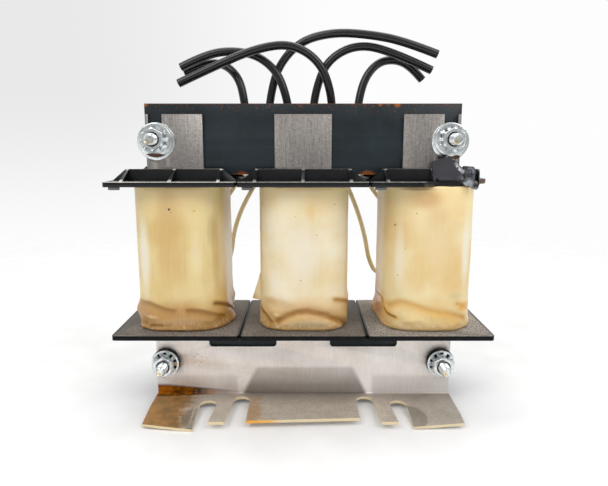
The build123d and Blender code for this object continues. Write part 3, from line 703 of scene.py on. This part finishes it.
def studTree():
    # A rod with a screw thread wound round it, running out at the chamfered tip.
    labels = ("Major Radius", "Thread Reach", "Pitch", "Turns", "Length", "Tip Chamfer")
    tree, size, end = newTree("GeometryNodeTree", "threadedStud", {
        "Geometry": ("Geometry", None), **{label: ("Float", None) for label in labels},
        "Finish": ("Material", None)}, ("Geometry", "Geometry"))

    def raised(part, height):
        lift = make(tree, "ShaderNodeCombineXYZ", {"Z": height})
        return make(tree, "GeometryNodeTransform", {"Geometry": part, "Translation": lift})

    rootRadius = size["Major Radius"] - size["Thread Reach"]
    rodRadius = rootRadius + 0.06 * mm
    rodLength = size["Length"] - size["Tip Chamfer"]
    rod = make(tree, "GeometryNodeMeshCylinder", {"Vertices": 40, "Radius": rodRadius, "Depth": rodLength})
    tip = make(tree, "GeometryNodeMeshCone", {"Vertices": 40, "Radius Bottom": rodRadius,
                                              "Radius Top": rootRadius - size["Tip Chamfer"] * 0.7,
                                              "Depth": size["Tip Chamfer"]})
    parts = [raised(rod, rodLength * 0.5), raised(tip, rodLength)]
    profile = make(tree, "GeometryNodeCurvePrimitiveCircle", {"Resolution": 4, "Radius": size["Thread Reach"]},
                   mode="RADIUS")
    runOut = rootRadius - size["Thread Reach"] * 1.1
    start = rodLength - size["Turns"] * size["Pitch"]
    for turns, lift, endRadius in ((size["Turns"], start, rootRadius), (0.75, rodLength, runOut)):
        spiral = make(tree, "GeometryNodeCurveSpiral", {
            "Resolution": 36, "Rotations": turns, "Start Radius": rootRadius, "End Radius": endRadius,
            "Height": calc("MULTIPLY", turns, size["Pitch"])})
        straight = make(tree, "GeometryNodeSetCurveNormal", {"Curve": spiral}, mode="Z_UP")
        thread = make(tree, "GeometryNodeCurveToMesh", {"Curve": straight, "Profile Curve": profile,
                                                        "Fill Caps": True})
        parts.append(raised(thread, lift))
    return finishTree(tree, parts, size["Finish"], end, flat=True)


def hexBlock(height, boreRadius, bothEnds):
    # Hexagon whose corners are cut by a cone, as on a turned nut or bolt head, on the Z axis.
    flat = boltLook["acrossFlats"] / 2
    coneRadius = flat * 1.05
    steps = [boltLook["hexChamfer"] * k / 8 for k in range(9)]
    heights = [0.0, height * 0.5] + [height - step for step in reversed(steps)]
    if bothEnds:
        heights = sorted(set(heights) | set(steps))
    points, faces = [], []

    def ring(z, radiusAt):
        for i in range(hexSides):
            angle = 2 * math.pi * i / hexSides
            points.append((radiusAt(angle) * math.cos(angle), radiusAt(angle) * math.sin(angle), z))

    for z in heights:
        cone = coneRadius + (height - z) * 1.7
        if bothEnds:
            cone = min(cone, coneRadius + z * 1.7)
        worn = max(0.0, z - height + boltLook["edgeBreak"])
        ring(z, lambda angle: min(flat / math.cos((angle + math.pi / 6) % (math.pi / 3) - math.pi / 6), cone) - worn)
    rings = list(range(len(heights)))
    if boreRadius:
        chamfer = boltLook["boreChamfer"]
        for radius, z in ((boreRadius + chamfer, height), (boreRadius, height - chamfer), (boreRadius, 0.0)):
            ring(z, lambda angle: radius)
        rings += [rings[-1] + 1, rings[-1] + 2, rings[-1] + 3, 0]
    for a, b in zip(rings, rings[1:]):
        for i in range(hexSides):
            j = (i + 1) % hexSides
            faces.append((a * hexSides + i, a * hexSides + j, b * hexSides + j, b * hexSides + i))
    if not boreRadius:
        faces.append(tuple(range(rings[-1] * hexSides, (rings[-1] + 1) * hexSides)))
        faces.append(tuple(reversed(range(hexSides))))
    return points, faces


def makeFasteners():
    tree, bore = studTree(), makeBoreMaterial()
    turns = math.floor(boltLook["threadedLength"] / boltLook["pitch"])
    random.seed(4)
    for spot, middle in boltSpots.items():
        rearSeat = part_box(f"rear_washer_{spot}")[1].y
        stud = runTree(f"bolt_{spot}", tree, {
            "Major Radius": boltLook["majorRadius"] - 0.02 * mm, "Thread Reach": boltLook["threadReach"],
            "Pitch": boltLook["pitch"], "Turns": float(turns),
            "Length": rearSeat - (plateFront - boltLook["studFront"]),
            "Tip Chamfer": boltLook["tipChamfer"], "Finish": zinc})
        placeAlong(stud, (middle.x, rearSeat, middle.z), (0, -1, 0))
        head = meshFrom(f"bolt_head_{spot}", *hexBlock(boltLook["headHeight"], 0, False), smooth=False)
        head.transform(Matrix.Rotation(math.radians(random.uniform(0, 60)), 4, "Z"))
        placeAlong(head, (middle.x, rearSeat, middle.z), (0, 1, 0))
        whole = joinMeshes(f"bolt_{spot}_threaded", [stud, head])
        whole.materials.append(zinc)
        addPiece(f"bolt_{spot}_threaded", whole, f"bolt_{spot}")
        nutBlock = hexBlock(boltLook["nutHeight"], boltLook["majorRadius"] + 0.1 * mm, True)
        nut = meshFrom(f"nut_{spot}_chamfered", *nutBlock, smooth=False)
        nut.materials.append(zinc)
        nut.materials.append(bore)
        # The faces inside the bore are the last but one row and the row before it; they take the painted shade.
        for face in nut.polygons[-3 * hexSides:-hexSides]:
            face.material_index = 1
        placeAlong(nut, (middle.x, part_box(f"nut_{spot}")[1].y, middle.z), (0, -1, 0))
        addPiece(f"nut_{spot}_chamfered", nut, f"nut_{spot}")


def joinMeshes(name, meshes):
    work = bmesh.new()
    for mesh in meshes:
        work.from_mesh(mesh)
    whole = bpy.data.meshes.new(name)
    work.to_mesh(whole)
    work.free()
    return whole


makeFasteners()
print("bolts and nuts ready")


# Paper wraps: varnished cream paper pulled round each winding and gathered at its foot

wrapSize = dict(width=49.8, depth=56.0, corner=16.0, thickness=0.9, low=46.0, high=126.2, columns=360)
# Places on the paper are given as seen from the camera: across from the middle of the coil
# and height, both where the line of sight crosses the plane of the coils' faces.
# Folds are (points, reach of the stain and painted shade above, below, depth, strength of
# the stain and painted shade). A fold of negative depth is a valley, and one of no depth is
# stain and painted shade alone. Swells are (across, height, half width, half height, reach).
# Flaps stand off the edge of the paper between two heights. Stains and painted light are
# (place, half size, colour, strength): most are real marks, a few are painted highlights,
# painted light and painted shadows; specks are (place, radius, colour).
wrapLook = {
    "left": dict(
        lean=1.0,
        folds=[([(-20.6, 64.8), (-14.4, 62.8), (-10.2, 61.0), (-6.4, 59.5), (-2.6, 58.7), (1.6, 58.2)],
                0.9, 4.4, 0.4, 0.72),
               ([(3.4, 58.6), (8.3, 58.9), (12.9, 58.5), (17.5, 57.5), (21.8, 56.5), (26.4, 56.2)],
                0.9, 4.2, 0.4, 0.85),
               ([(18.6, 63.2), (23.1, 62.8), (26.2, 62.1), (28.5, 60.8), (29.6, 58.6)], 1.4, 2.6, 0.6, 0.95),
               ([(32.4, 66.2), (30.6, 63.4), (29.6, 61.0), (29.0, 58.2)], 0.8, 1.6, 0.8, 1.1),
               ([(-16.0, 49.2), (-12.7, 50.3), (-10.0, 50.1), (-6.0, 49.6)], 0.8, 1.6, 0.3, 0.85),
               ([(21.0, 54.6), (26.0, 51.5), (29.0, 50.0)], 2.4, 2.4, 0.0, 0.75),
               ([(-19.5, 52.0), (-17.0, 50.0), (-15.0, 48.8)], 1.0, 1.0, -0.6, 0.5)],
        swells=[(-14.0, 54.6, 5.0, 1.8, 0.5), (8.0, 53.0, 12.0, 2.6, 0.35), (-21.6, 59.5, 5.0, 4.5, 1.9),
                (32.0, 68.0, 8.0, 2.6, 0.7), (28.3, 52.5, 9.0, 6.0, 3.8), (-22.5, 48.2, 5.0, 1.9, 3.2),
                (-4.0, 47.0, 16.0, 1.6, 0.5)],
        flaps=[],
        stainsAndPaintedLight=[((-3.0, 96.0), (8.5, 40.0), "d6b070", 0.7), ((3.5, 84.0), (5.5, 22.0), "cfa868", 0.45),
                ((22.6, 92.0), (2.4, 34.0), "c4a468", 0.45), ((20.5, 103.0), (3.0, 12.0), "b99a58", 0.35),
                # Both here: painted highlight down the left of the coil's face.
                ((-16.5, 88.0), (4.6, 30.0), "efe8d6", 0.85), ((-20.4, 96.0), (1.6, 34.0), "d9d3bf", 0.6),
                # Second here: painted light on the shaded right side of the coil.
                ((12.0, 90.0), (5.0, 16.0), "eedfb4", 0.6), ((29.5, 92.0), (5.0, 44.0), "fff4e6", 0.95),
                # First here: painted shadow under the upper flange.
                ((2.0, 125.0), (30.0, 1.6), "b8945a", 0.3), ((0.0, 51.5), (22.0, 3.6), "bc945c", 0.8),
                ((-14.0, 54.4), (5.5, 1.5), "dcc092", 0.7), ((31.0, 56.5), (2.2, 5.0), "b3a698", 0.8)],
        specks=[((-1.9, 114.1), 0.62, "1c120c"), ((-1.0, 112.4), 0.25, "6b4a2c"), ((11.4, 113.4), 0.6, "e3b93c")],
        tint=("e6d296", "d6b46e"), low="b8843c", lowAmount=0.88, hem=0.7,
        fold=("b58a48", "96661c", "5a3c1e")),
    "centre": dict(
        lean=0.5,
        folds=[([(-15.8, 49.4), (-13.1, 52.0), (-8.8, 54.4), (-3.3, 56.4), (2.5, 56.9), (8.3, 55.9), (13.0, 54.5),
                 (16.9, 52.7), (21.6, 51.1), (23.6, 50.0)], 3.3, 1.7, -0.9, 0.85),
               ([(-22.0, 65.2), (-17.6, 64.4), (-13.4, 63.0), (-8.8, 61.2), (-3.3, 59.6), (6.0, 58.6), (14.0, 56.6)],
                1.8, 4.4, 0.0, 0.3),
               ([(-23.3, 62.2), (-21.2, 57.7), (-19.3, 54.9), (-17.4, 52.4), (-15.2, 50.8)], 0.9, 3.4, 0.5, 0.9),
               ([(15.2, 65.2), (19.9, 64.6), (23.0, 64.1), (24.6, 63.6)], 1.2, 2.4, 0.5, 0.75),
               ([(24.6, 62.8), (23.6, 58.9), (24.0, 54.9), (23.8, 50.5)], 2.0, 2.0, 0.0, 0.6),
               ([(18.0, 52.6), (24.0, 50.4)], 1.0, 1.8, 0.0, 0.85),
               ([(-24.2, 69.0), (-23.6, 62.4)], 1.6, 1.6, 0.0, 0.5)],
        swells=[(-15.5, 57.0, 4.0, 2.8, 0.8), (10.0, 61.0, 12.0, 3.0, 0.4), (3.0, 47.0, 18.0, 2.2, -0.4),
                (25.0, 67.0, 6.0, 2.4, 0.6), (-24.0, 54.0, 4.0, 5.0, 0.4)],
        flaps=[(29.0, 43.0, 76.5, 61.0, 4.8)],
        stainsAndPaintedLight=[((-23.2, 92.0), (1.7, 40.0), "c8a05c", 0.7), ((23.6, 88.0), (1.8, 40.0), "dcbd80", 0.45),
                # First here: painted shadow under the upper flange.
                ((4.0, 125.0), (26.0, 1.8), "c89c5c", 0.35), ((10.0, 117.0), (14.0, 9.0), "e6cc94", 0.5),
                ((4.0, 112.0), (4.0, 8.0), "e6c06c", 0.4), ((8.0, 63.0), (22.0, 6.0), "e2c188", 0.5),
                ((-17.6, 63.0), (4.5, 3.0), "d3a765", 0.5), ((0.0, 88.0), (14.0, 26.0), "f2eada", 0.7),
                ((3.0, 50.0), (18.0, 3.2), "cdb78e", 0.85), ((-14.6, 55.4), (2.6, 1.8), "f2dca8", 0.8)],
        specks=[((16.8, 116.9), 0.3, "b08a5c"), ((7.5, 100.3), 0.28, "8b6a40"), ((-1.3, 75.0), 0.28, "8a7046"),
                ((-4.3, 110.3), 0.25, "8b6a40")],
        tint=("f2e8ce", "e6d09e"), low="c8984a", lowAmount=0.7, hem=0.3,
        fold=("c09048", "a8742a", "644418")),
    "right": dict(
        lean=0.3,
        folds=[([(-24.6, 61.5), (-22.2, 61.4), (-19.9, 62.2), (-17.2, 62.9), (-14.1, 62.7), (-8.6, 61.2),
                 (-4.7, 59.6), (-0.7, 58.4), (3.2, 57.5), (11.0, 56.2), (16.9, 54.3), (19.8, 53.0)],
                1.9, 3.4, -0.6, 0.56),
               ([(-31.0, 69.9), (-27.3, 67.3), (-25.9, 64.9), (-25.3, 61.4)], 0.9, 2.0, 0.5, 1.0),
               ([(-25.7, 61.4), (-23.2, 57.3), (-20.8, 55.7), (-16.6, 53.9)], 0.9, 1.8, 0.5, 0.95),
               ([(12.8, 62.7), (18.5, 60.9), (21.6, 59.4)], 1.8, 1.8, -0.3, 0.55),
               ([(12.0, 123.2), (18.0, 122.2), (23.0, 120.6)], 0.3, 0.8, 0.5, 0.12),
               ([(15.0, 121.4), (23.0, 118.6)], 0.3, 0.8, 0.35, 0.08)],
        swells=[(-31.0, 60.0, 7.0, 6.5, 1.7), (-29.0, 52.5, 7.0, 4.0, 1.8), (-6.0, 52.6, 14.0, 3.0, 0.5),
                (-19.0, 57.8, 4.0, 2.2, 0.6), (14.0, 65.0, 6.0, 2.6, 0.3), (22.0, 53.0, 5.0, 4.0, 0.5)],
        flaps=[],
        # Second here: painted highlight down the left of the coil's face.
        stainsAndPaintedLight=[((-22.6, 96.0), (2.8, 34.0), "e8cc9a", 0.2), ((-17.6, 88.0), (3.4, 26.0), "efe6d0", 0.7),
                ((18.2, 90.0), (3.6, 26.0), "f0ead6", 0.8), ((-4.0, 120.0), (13.0, 8.0), "d09a54", 0.6),
                # Second here: painted shadow under the upper flange.
                ((2.0, 110.0), (10.0, 12.0), "e3c086", 0.45), ((-9.0, 125.0), (13.0, 1.2), "8a5c28", 0.7),
                ((13.8, 66.4), (5.5, 3.4), "ccbb88", 0.6), ((4.0, 90.0), (12.0, 24.0), "efdcae", 0.5),
                # First here: painted light on the shaded left side of the coil.
                ((-30.0, 98.0), (5.0, 36.0), "fbe6c4", 0.85), ((-29.5, 65.0), (10.0, 19.0), "e09a3c", 1.0),
                ((19.0, 60.6), (6.5, 3.2), "e2a838", 1.0)],
        specks=[((-20.4, 105.9), 0.45, "8b7048"), ((-14.6, 93.1), 0.3, "93855c"), ((-18.2, 78.2), 0.4, "d9b64c"),
                ((14.8, 61.7), 0.35, "b9741c"), ((-9.0, 112.0), 0.25, "93855c")],
        tint=("efdeae", "e4c382"), low="e4c27c", lowAmount=0.5, hem=0.15,
        fold=("dfa840", "bd8630", "704c20")),
}


def outlinePoint(along):
    # Point and outward direction on the rounded outline, along from the middle of the front.
    halfW, halfD, corner = wrapSize["width"] / 2, wrapSize["depth"] / 2, wrapSize["corner"]
    sign, left, arc = (1 if along >= 0 else -1), abs(along), math.pi / 2 * corner
    for name, length in (("front", halfW - corner), ("fore", arc), ("side", 2 * (halfD - corner)), ("aft", arc),
                         ("back", math.inf)):
        if left <= length:
            break
        left -= length
    angle = left / corner
    if name == "front":
        x, y, nx, ny = left, -halfD, 0, -1
    elif name == "fore":
        nx, ny = math.sin(angle), -math.cos(angle)
        x, y = halfW - corner + corner * nx, -halfD + corner + corner * ny
    elif name == "side":
        x, y, nx, ny = halfW, -halfD + corner + left, 1, 0
    elif name == "aft":
        nx, ny = math.cos(angle), math.sin(angle)
        x, y = halfW - corner + corner * nx, halfD - corner + corner * ny
    else:
        x, y, nx, ny = halfW - corner - left, halfD, 0, 1
    return sign * x, y, sign * nx, ny


def makeSight(middle):
    # Gives the distance along the paper, the place on its outline and the height of what is
    # seen at a place in the plane of the coils' faces.
    far, eye, face = cameraPlace["distance"] / mm, cameraPlace["height"] / mm, wrapSize["depth"] / 2
    samples = []
    for k in range(-120, 121):
        x, y, nx, ny = outlinePoint(k * 0.5)
        samples.append(((middle + x) * (far - face) / (far + y) - middle, k * 0.5, x, y))
    first = min(range(121), key=lambda k: samples[k][0])
    last = max(range(121, 241), key=lambda k: samples[k][0])

    def sight(across, height):
        k = first
        while k < last - 1 and samples[k + 1][0] < across:
            k += 1
        (s0, u0, x0, y0), (s1, u1, x1, y1) = samples[k], samples[k + 1]
        t = max(0.0, min(1.0, (across - s0) / (s1 - s0)))
        y = y0 + t * (y1 - y0)
        return u0 + t * (u1 - u0), x0 + t * (x1 - x0), y, eye + (height - eye) * (far + y) / (far - face)
    return sight


def nearLine(u, z, line):
    # Distance to a bent line, positive below it, and how far along it from its nearer end.
    best, side, run, at = math.inf, 1.0, 0.0, 0.0
    for (u0, z0), (u1, z1) in zip(line, line[1:]):
        du, dz = u1 - u0, z1 - z0
        length = math.hypot(du, dz)
        t = max(0.0, min(1.0, ((u - u0) * du + (z - z0) * dz) / (length * length)))
        pu, pz = u0 + t * du, z0 + t * dz
        away = math.hypot(u - pu, z - pz)
        if away < best:
            best, at = away, run + t * length
            side = 1.0 if z < pz else -1.0
        run += length
    return side * best, min(at, run - at)


def smooth(t):
    t = max(0.0, min(1.0, t))
    return t * t * (3 - 2 * t)


def bell(away, width):
    return math.exp(-(away / width) ** 2)


def foldShape(away, above, below, depth, stain):
    # A lip that overhangs a trough, or a valley, with stain and painted shade that fade off on both sides.
    tone = stain * bell(away, below if away > 0 else above)
    if depth < 0:
        return depth * bell(away, 2.0), tone
    if away < 0:
        return 0.6 * depth * bell(away, 2.6), tone
    fall = bell(away, 0.9)
    return depth * (0.6 * fall - 0.6 * (1 - fall) * bell(away, 2.6)), tone


def wrapRelief(u, z, nx, look, folds, swells, seed):
    # Outward distance of the paper from its plain outline, and the strength of its folds' stain and painted shade.
    height, stain = z - wrapSize["low"], 0.0

    def ripple(size, across, up, shift):
        return size * noise.noise(Vector((u * across, z * up, seed + shift)))

    out = look["lean"] * nx + 0.35 * smooth(height / 1.5) * smooth((24 - height) / 16) - 0.3 * smooth(1 - height)
    out += ripple(0.3, 0.05, 0.03, 0) + ripple(0.1, 0.15, 0.05, 5)
    if height < 32:
        out += smooth((20 - height) / 14) * (ripple(0.5, 0.11, 0.2, 9) + ripple(0.22, 0.3, 0.4, 13))
    if height < 32 or height > 70:
        for line, above, below, depth, strength in folds:
            away, fromEnd = nearLine(u, z, line)
            if abs(away) < 8:
                taper = smooth(0.25 + fromEnd / 4)
                lift, tone = foldShape(away, above, below, depth * taper, strength * taper)
                out += lift
                stain = max(stain, tone)
        for cu, cz, ru, rz, reach in swells:
            out += reach * bell(u - cu, ru) * bell(z - cz, rz)
    for uLow, uHigh, top, bottom, reach in look["flaps"]:
        if z < top:
            edge = smooth((-u - uLow) / 4) * smooth((uHigh + u) / 4)
            out += reach * edge * smooth((z - bottom + 0.7) / 0.7) * (top - z) / (top - bottom)
    return max(out, -0.85), stain


def makeWrapMesh(name, side):
    look, middle, corner = wrapLook[side], coilMiddles[side] / mm, wrapSize["corner"]
    seed, columns, low, high = 20.0 * len(side), wrapSize["columns"], wrapSize["low"], wrapSize["high"]
    total = 2 * (wrapSize["width"] + wrapSize["depth"] - 4 * corner) + 2 * math.pi * corner
    levels = [low + 0.35 * k for k in range(64)]
    levels += [levels[-1] + (high - levels[-1]) * (k + 1) / 64 for k in range(64)]
    rows = len(levels)
    sight = makeSight(middle)
    folds = [([sight(*place)[::3] for place in line], *rest) for line, *rest in look["folds"]]
    swells = [(*sight(a, z)[::3], *rest) for a, z, *rest in look["swells"]]
    # Columns stand closer together on the side that faces forward.
    shares = [i / columns - 0.5 for i in range(columns)]
    around = [(u, outlinePoint(u)) for u in (total * (0.6 * t + 1.6 * t ** 3) for t in shares)]
    points, stainsAndPaintedLight = [], []
    for level in levels:
        for u, (x, y, nx, ny) in around:
            out, stain = wrapRelief(u, level, nx, look, folds, swells, seed)
            # The upper edge is a little wavy.
            lift = max(0.0, level - high + 2.0) / 2.0 * 0.35 * noise.noise(Vector((u * 0.12, 8.0, seed)))
            points.append(((middle + x + nx * out) * mm, (y + ny * out) * mm, (level + lift) * mm))
            stainsAndPaintedLight.append(stain)
    # The inner side of the paper is plain.
    for row in (rows - 1, 0):
        for i, (u, (x, y, nx, ny)) in enumerate(around):
            tuck = -wrapSize["thickness"]
            points.append(((middle + x + nx * tuck) * mm, (y + ny * tuck) * mm, points[row * columns + i][2]))
            stainsAndPaintedLight.append(0.0)
    rings = [(r * columns, (r + 1) * columns) for r in range(rows)] + [((rows + 1) * columns, 0)]
    nextTo = [(i + 1) % columns for i in range(columns)]
    mesh = meshFrom(name, points, [(a + i, a + j, b + j, b + i) for a, b in rings for i, j in enumerate(nextTo)])
    mesh.attributes.new("foldStainAndShade", "FLOAT", "POINT").data.foreach_set("value", stainsAndPaintedLight)
    return mesh


def makeWrapMaterial(side):
    paint, look, middle = Paint(f"varnishedPaper_{side}"), wrapLook[side], coilMiddles[side] / mm
    sight, up = makeSight(middle), paint.z

    def onPaper(across, height):
        u, x, y, z = sight(across, height)
        return middle + x, y, z

    fine, broad = paint.streaks((1, 1, 0.02), 2300, 1), paint.streaks((1, 1, 0.3), 60, 2)
    cloudy, (pale, amber), (light, dark, darkest) = paint.noise(42, 4), look["tint"], look["fold"]
    colour = mix((broad * 0.3 + cloudy * 0.7).remap(0.36, 0.66, smooth=True), pale, amber)
    # Towards the top the paper is painted paler: painted light against the shade under the upper flange.
    colour = mix(up.remap(104 * mm, 126 * mm, 0.0, 0.85), colour, "ffe6ac")
    low = (up + (cloudy - 0.5) * (20 * mm)).remap(66 * mm, 56 * mm, smooth=True)
    colour = mix(low * look["lowAmount"], colour, look["low"])
    for place, (wide, tall), tone, strength in look["stainsAndPaintedLight"]:
        mask = paint.patch(onPaper(*place), 0.0, 1.0, 0.14, (1 / wide, 0.03, 1 / tall), 45)
        colour = mix(mask.remap(0.0, 0.8, 0.0, strength, smooth=True), colour, tone)
    colour = mix(fine.remap(0.4, 0.65, 0.0, 0.06), colour, "fbf4e2")
    # The folds carry stain and painted shade, darkest at the fold line.
    fold = make(paint.tree, "ShaderNodeAttribute", output="Fac", attribute_name="foldStainAndShade")
    tone = rampOf(fold, [(0.35, light), (0.85, dark), (1.0, darkest)])
    colour = mix(fold.remap(0.02, 0.75, 0.0, 0.92), colour, tone)
    # Dirt and pale flecks of dried varnish gather at the foot.
    grime, nearFoot = paint.speckle(1900, 420, 0.5), up.remap(52.0 * mm, 48.5 * mm)
    colour = mix(nearFoot * grime.remap(0.42, 0.6, 0.1, 0.5), colour, dark)
    colour = mix(nearFoot * grime.remap(0.54, 0.62, 0.0, 0.85), colour, "f0e2c4")
    colour = mix(up.remap(47.2 * mm, 46.3 * mm) * look["hem"], colour, dark)
    for place, radius, tone in look["specks"]:
        dot = paint.patch(onPaper(*place), radius * 0.7, radius * 0.6, 0.15, (1, 0.2, 1), 900)
        colour = mix(dot, colour, tone)
    relief = fine * 0.15 + paint.noise(620, 4) * up.remap(70 * mm, 54 * mm, 0.15, 1.2)
    return paint.put({"Base Color": colour, "Roughness": fine.remap(0.35, 0.65, 0.5, 0.42),
                      "Subsurface Weight": 0.3, "Subsurface Radius": (1.0, 0.6, 0.25),
                      "Subsurface Scale": 1.6 * mm, "Coat Weight": up.remap(68 * mm, 52 * mm, 0.15, 0.42),
                      "Coat Roughness": 0.2, "Normal": paint.bump(relief, 0.3, 0.3 * mm)})


def makeWraps():
    for side in coilMiddles:
        mesh = makeWrapMesh(f"coil_wrap_{side}_paper", side)
        mesh.materials.append(makeWrapMaterial(side))
        addPiece(f"coil_wrap_{side}_paper", mesh, f"coil_wrap_{side}")


makeWraps()
print("paper wraps ready")


# Floor, backdrop and lamps

studio = dict(floorSize=5.0, floorColour="d6d6d6", floorPale="ededed", floorLift=0.07, frontLift=0.2,
              skyStrength=0.75, frontShade=0.42, fadeFrom=0.32, fadeTo=0.75,
              lamps=[((-0.75, -0.85, 1.15), 0.9, 8.0), ((0.85, -0.65, 1.05), 0.9, 7.0),
                     ((0.0, 0.5, 1.3), 1.2, 8.0)])


def makeFloor():
    half = studio["floorSize"]
    mesh = meshFrom("floor", [(-half, -half, 0), (half, -half, 0), (half, half, 0), (-half, half, 0)],
                    [(0, 1, 2, 3)])
    paint = Paint("floorPaper")
    tree = paint.tree
    path = addNode(tree, "ShaderNodeLightPath").outputs
    camera, glossy, through = [Wire(tree, path[f"Is {ray} Ray"]) for ray in ("Camera", "Glossy", "Transmission")]
    # The floor glows for the camera and in reflections, more towards the front: painted light that keeps it white.
    lift = paint.y.remap(-0.03, -0.1, studio["floorLift"], studio["frontLift"], smooth=True)
    paint.put({"Base Color": mix(paint.noise(30), studio["floorColour"], studio["floorPale"]),
               "Roughness": 0.3, "Emission Color": (1, 1, 1, 1),
               "Emission Strength": most(camera, most(glossy, through)) * lift})
    # Far off, the sheet runs into the backdrop with no line between them.
    away = make(tree, "ShaderNodeVectorMath", {0: paint.place}, "Value", operation="LENGTH")
    faded = away.remap(studio["fadeFrom"], studio["fadeTo"], smooth=True) * camera
    both = make(tree, "ShaderNodeMixShader", {0: faded, 1: Wire(tree, paint.shader.outputs[0]),
                                              2: make(tree, "ShaderNodeBsdfTransparent")})
    plug(tree, both, tree.nodes["Material Output"].inputs["Surface"])
    mesh.materials.append(paint.material)
    floor = bpy.data.objects.new("floor", mesh)
    scene.collection.objects.link(floor)


def makeWorld():
    world = bpy.data.worlds.new("studio")
    world.use_nodes = True
    tree = world.node_tree
    tree.nodes.clear()
    x, y, z = split(make(tree, "ShaderNodeTexCoord", output="Generated"))
    # The room in front of the object is dimmer than the white sweep behind it and overhead.
    dim = y.remap(0.1, -0.5, smooth=True) * z.remap(0.65, 0.15, smooth=True) * (1.0 - studio["frontShade"])
    light = (1 - dim) * studio["skyStrength"]
    # Seen directly, the backdrop is white but for a faint grey at its upper left.
    corner = x.remap(0.1, -0.4, smooth=True) * z.remap(-0.2, 0.1, smooth=True)
    direct = make(tree, "ShaderNodeLightPath", output="Is Camera Ray")
    strength = make(tree, "ShaderNodeMix", {0: direct, 2: light, 3: 0.985 - corner * 0.17})
    sky = make(tree, "ShaderNodeBackground", {"Color": (1, 1, 1, 1), "Strength": strength})
    plug(tree, sky, addNode(tree, "ShaderNodeOutputWorld").inputs["Surface"])
    scene.world = world


def makeLamps():
    for i, (place, size, power) in enumerate(studio["lamps"]):
        lamp = bpy.data.lights.new(f"softbox_{i + 1}", "AREA")
        lamp.shape, lamp.size, lamp.energy = "SQUARE", size, power
        holder = bpy.data.objects.new(lamp.name, lamp)
        scene.collection.objects.link(holder)
        holder.location = place
        holder.rotation_mode = "QUATERNION"
        holder.rotation_quaternion = (Vector((0, 0, 0.1)) - Vector(place)).to_track_quat("-Z", "Y")


makeFloor()
makeWorld()
makeLamps()
print("studio ready")
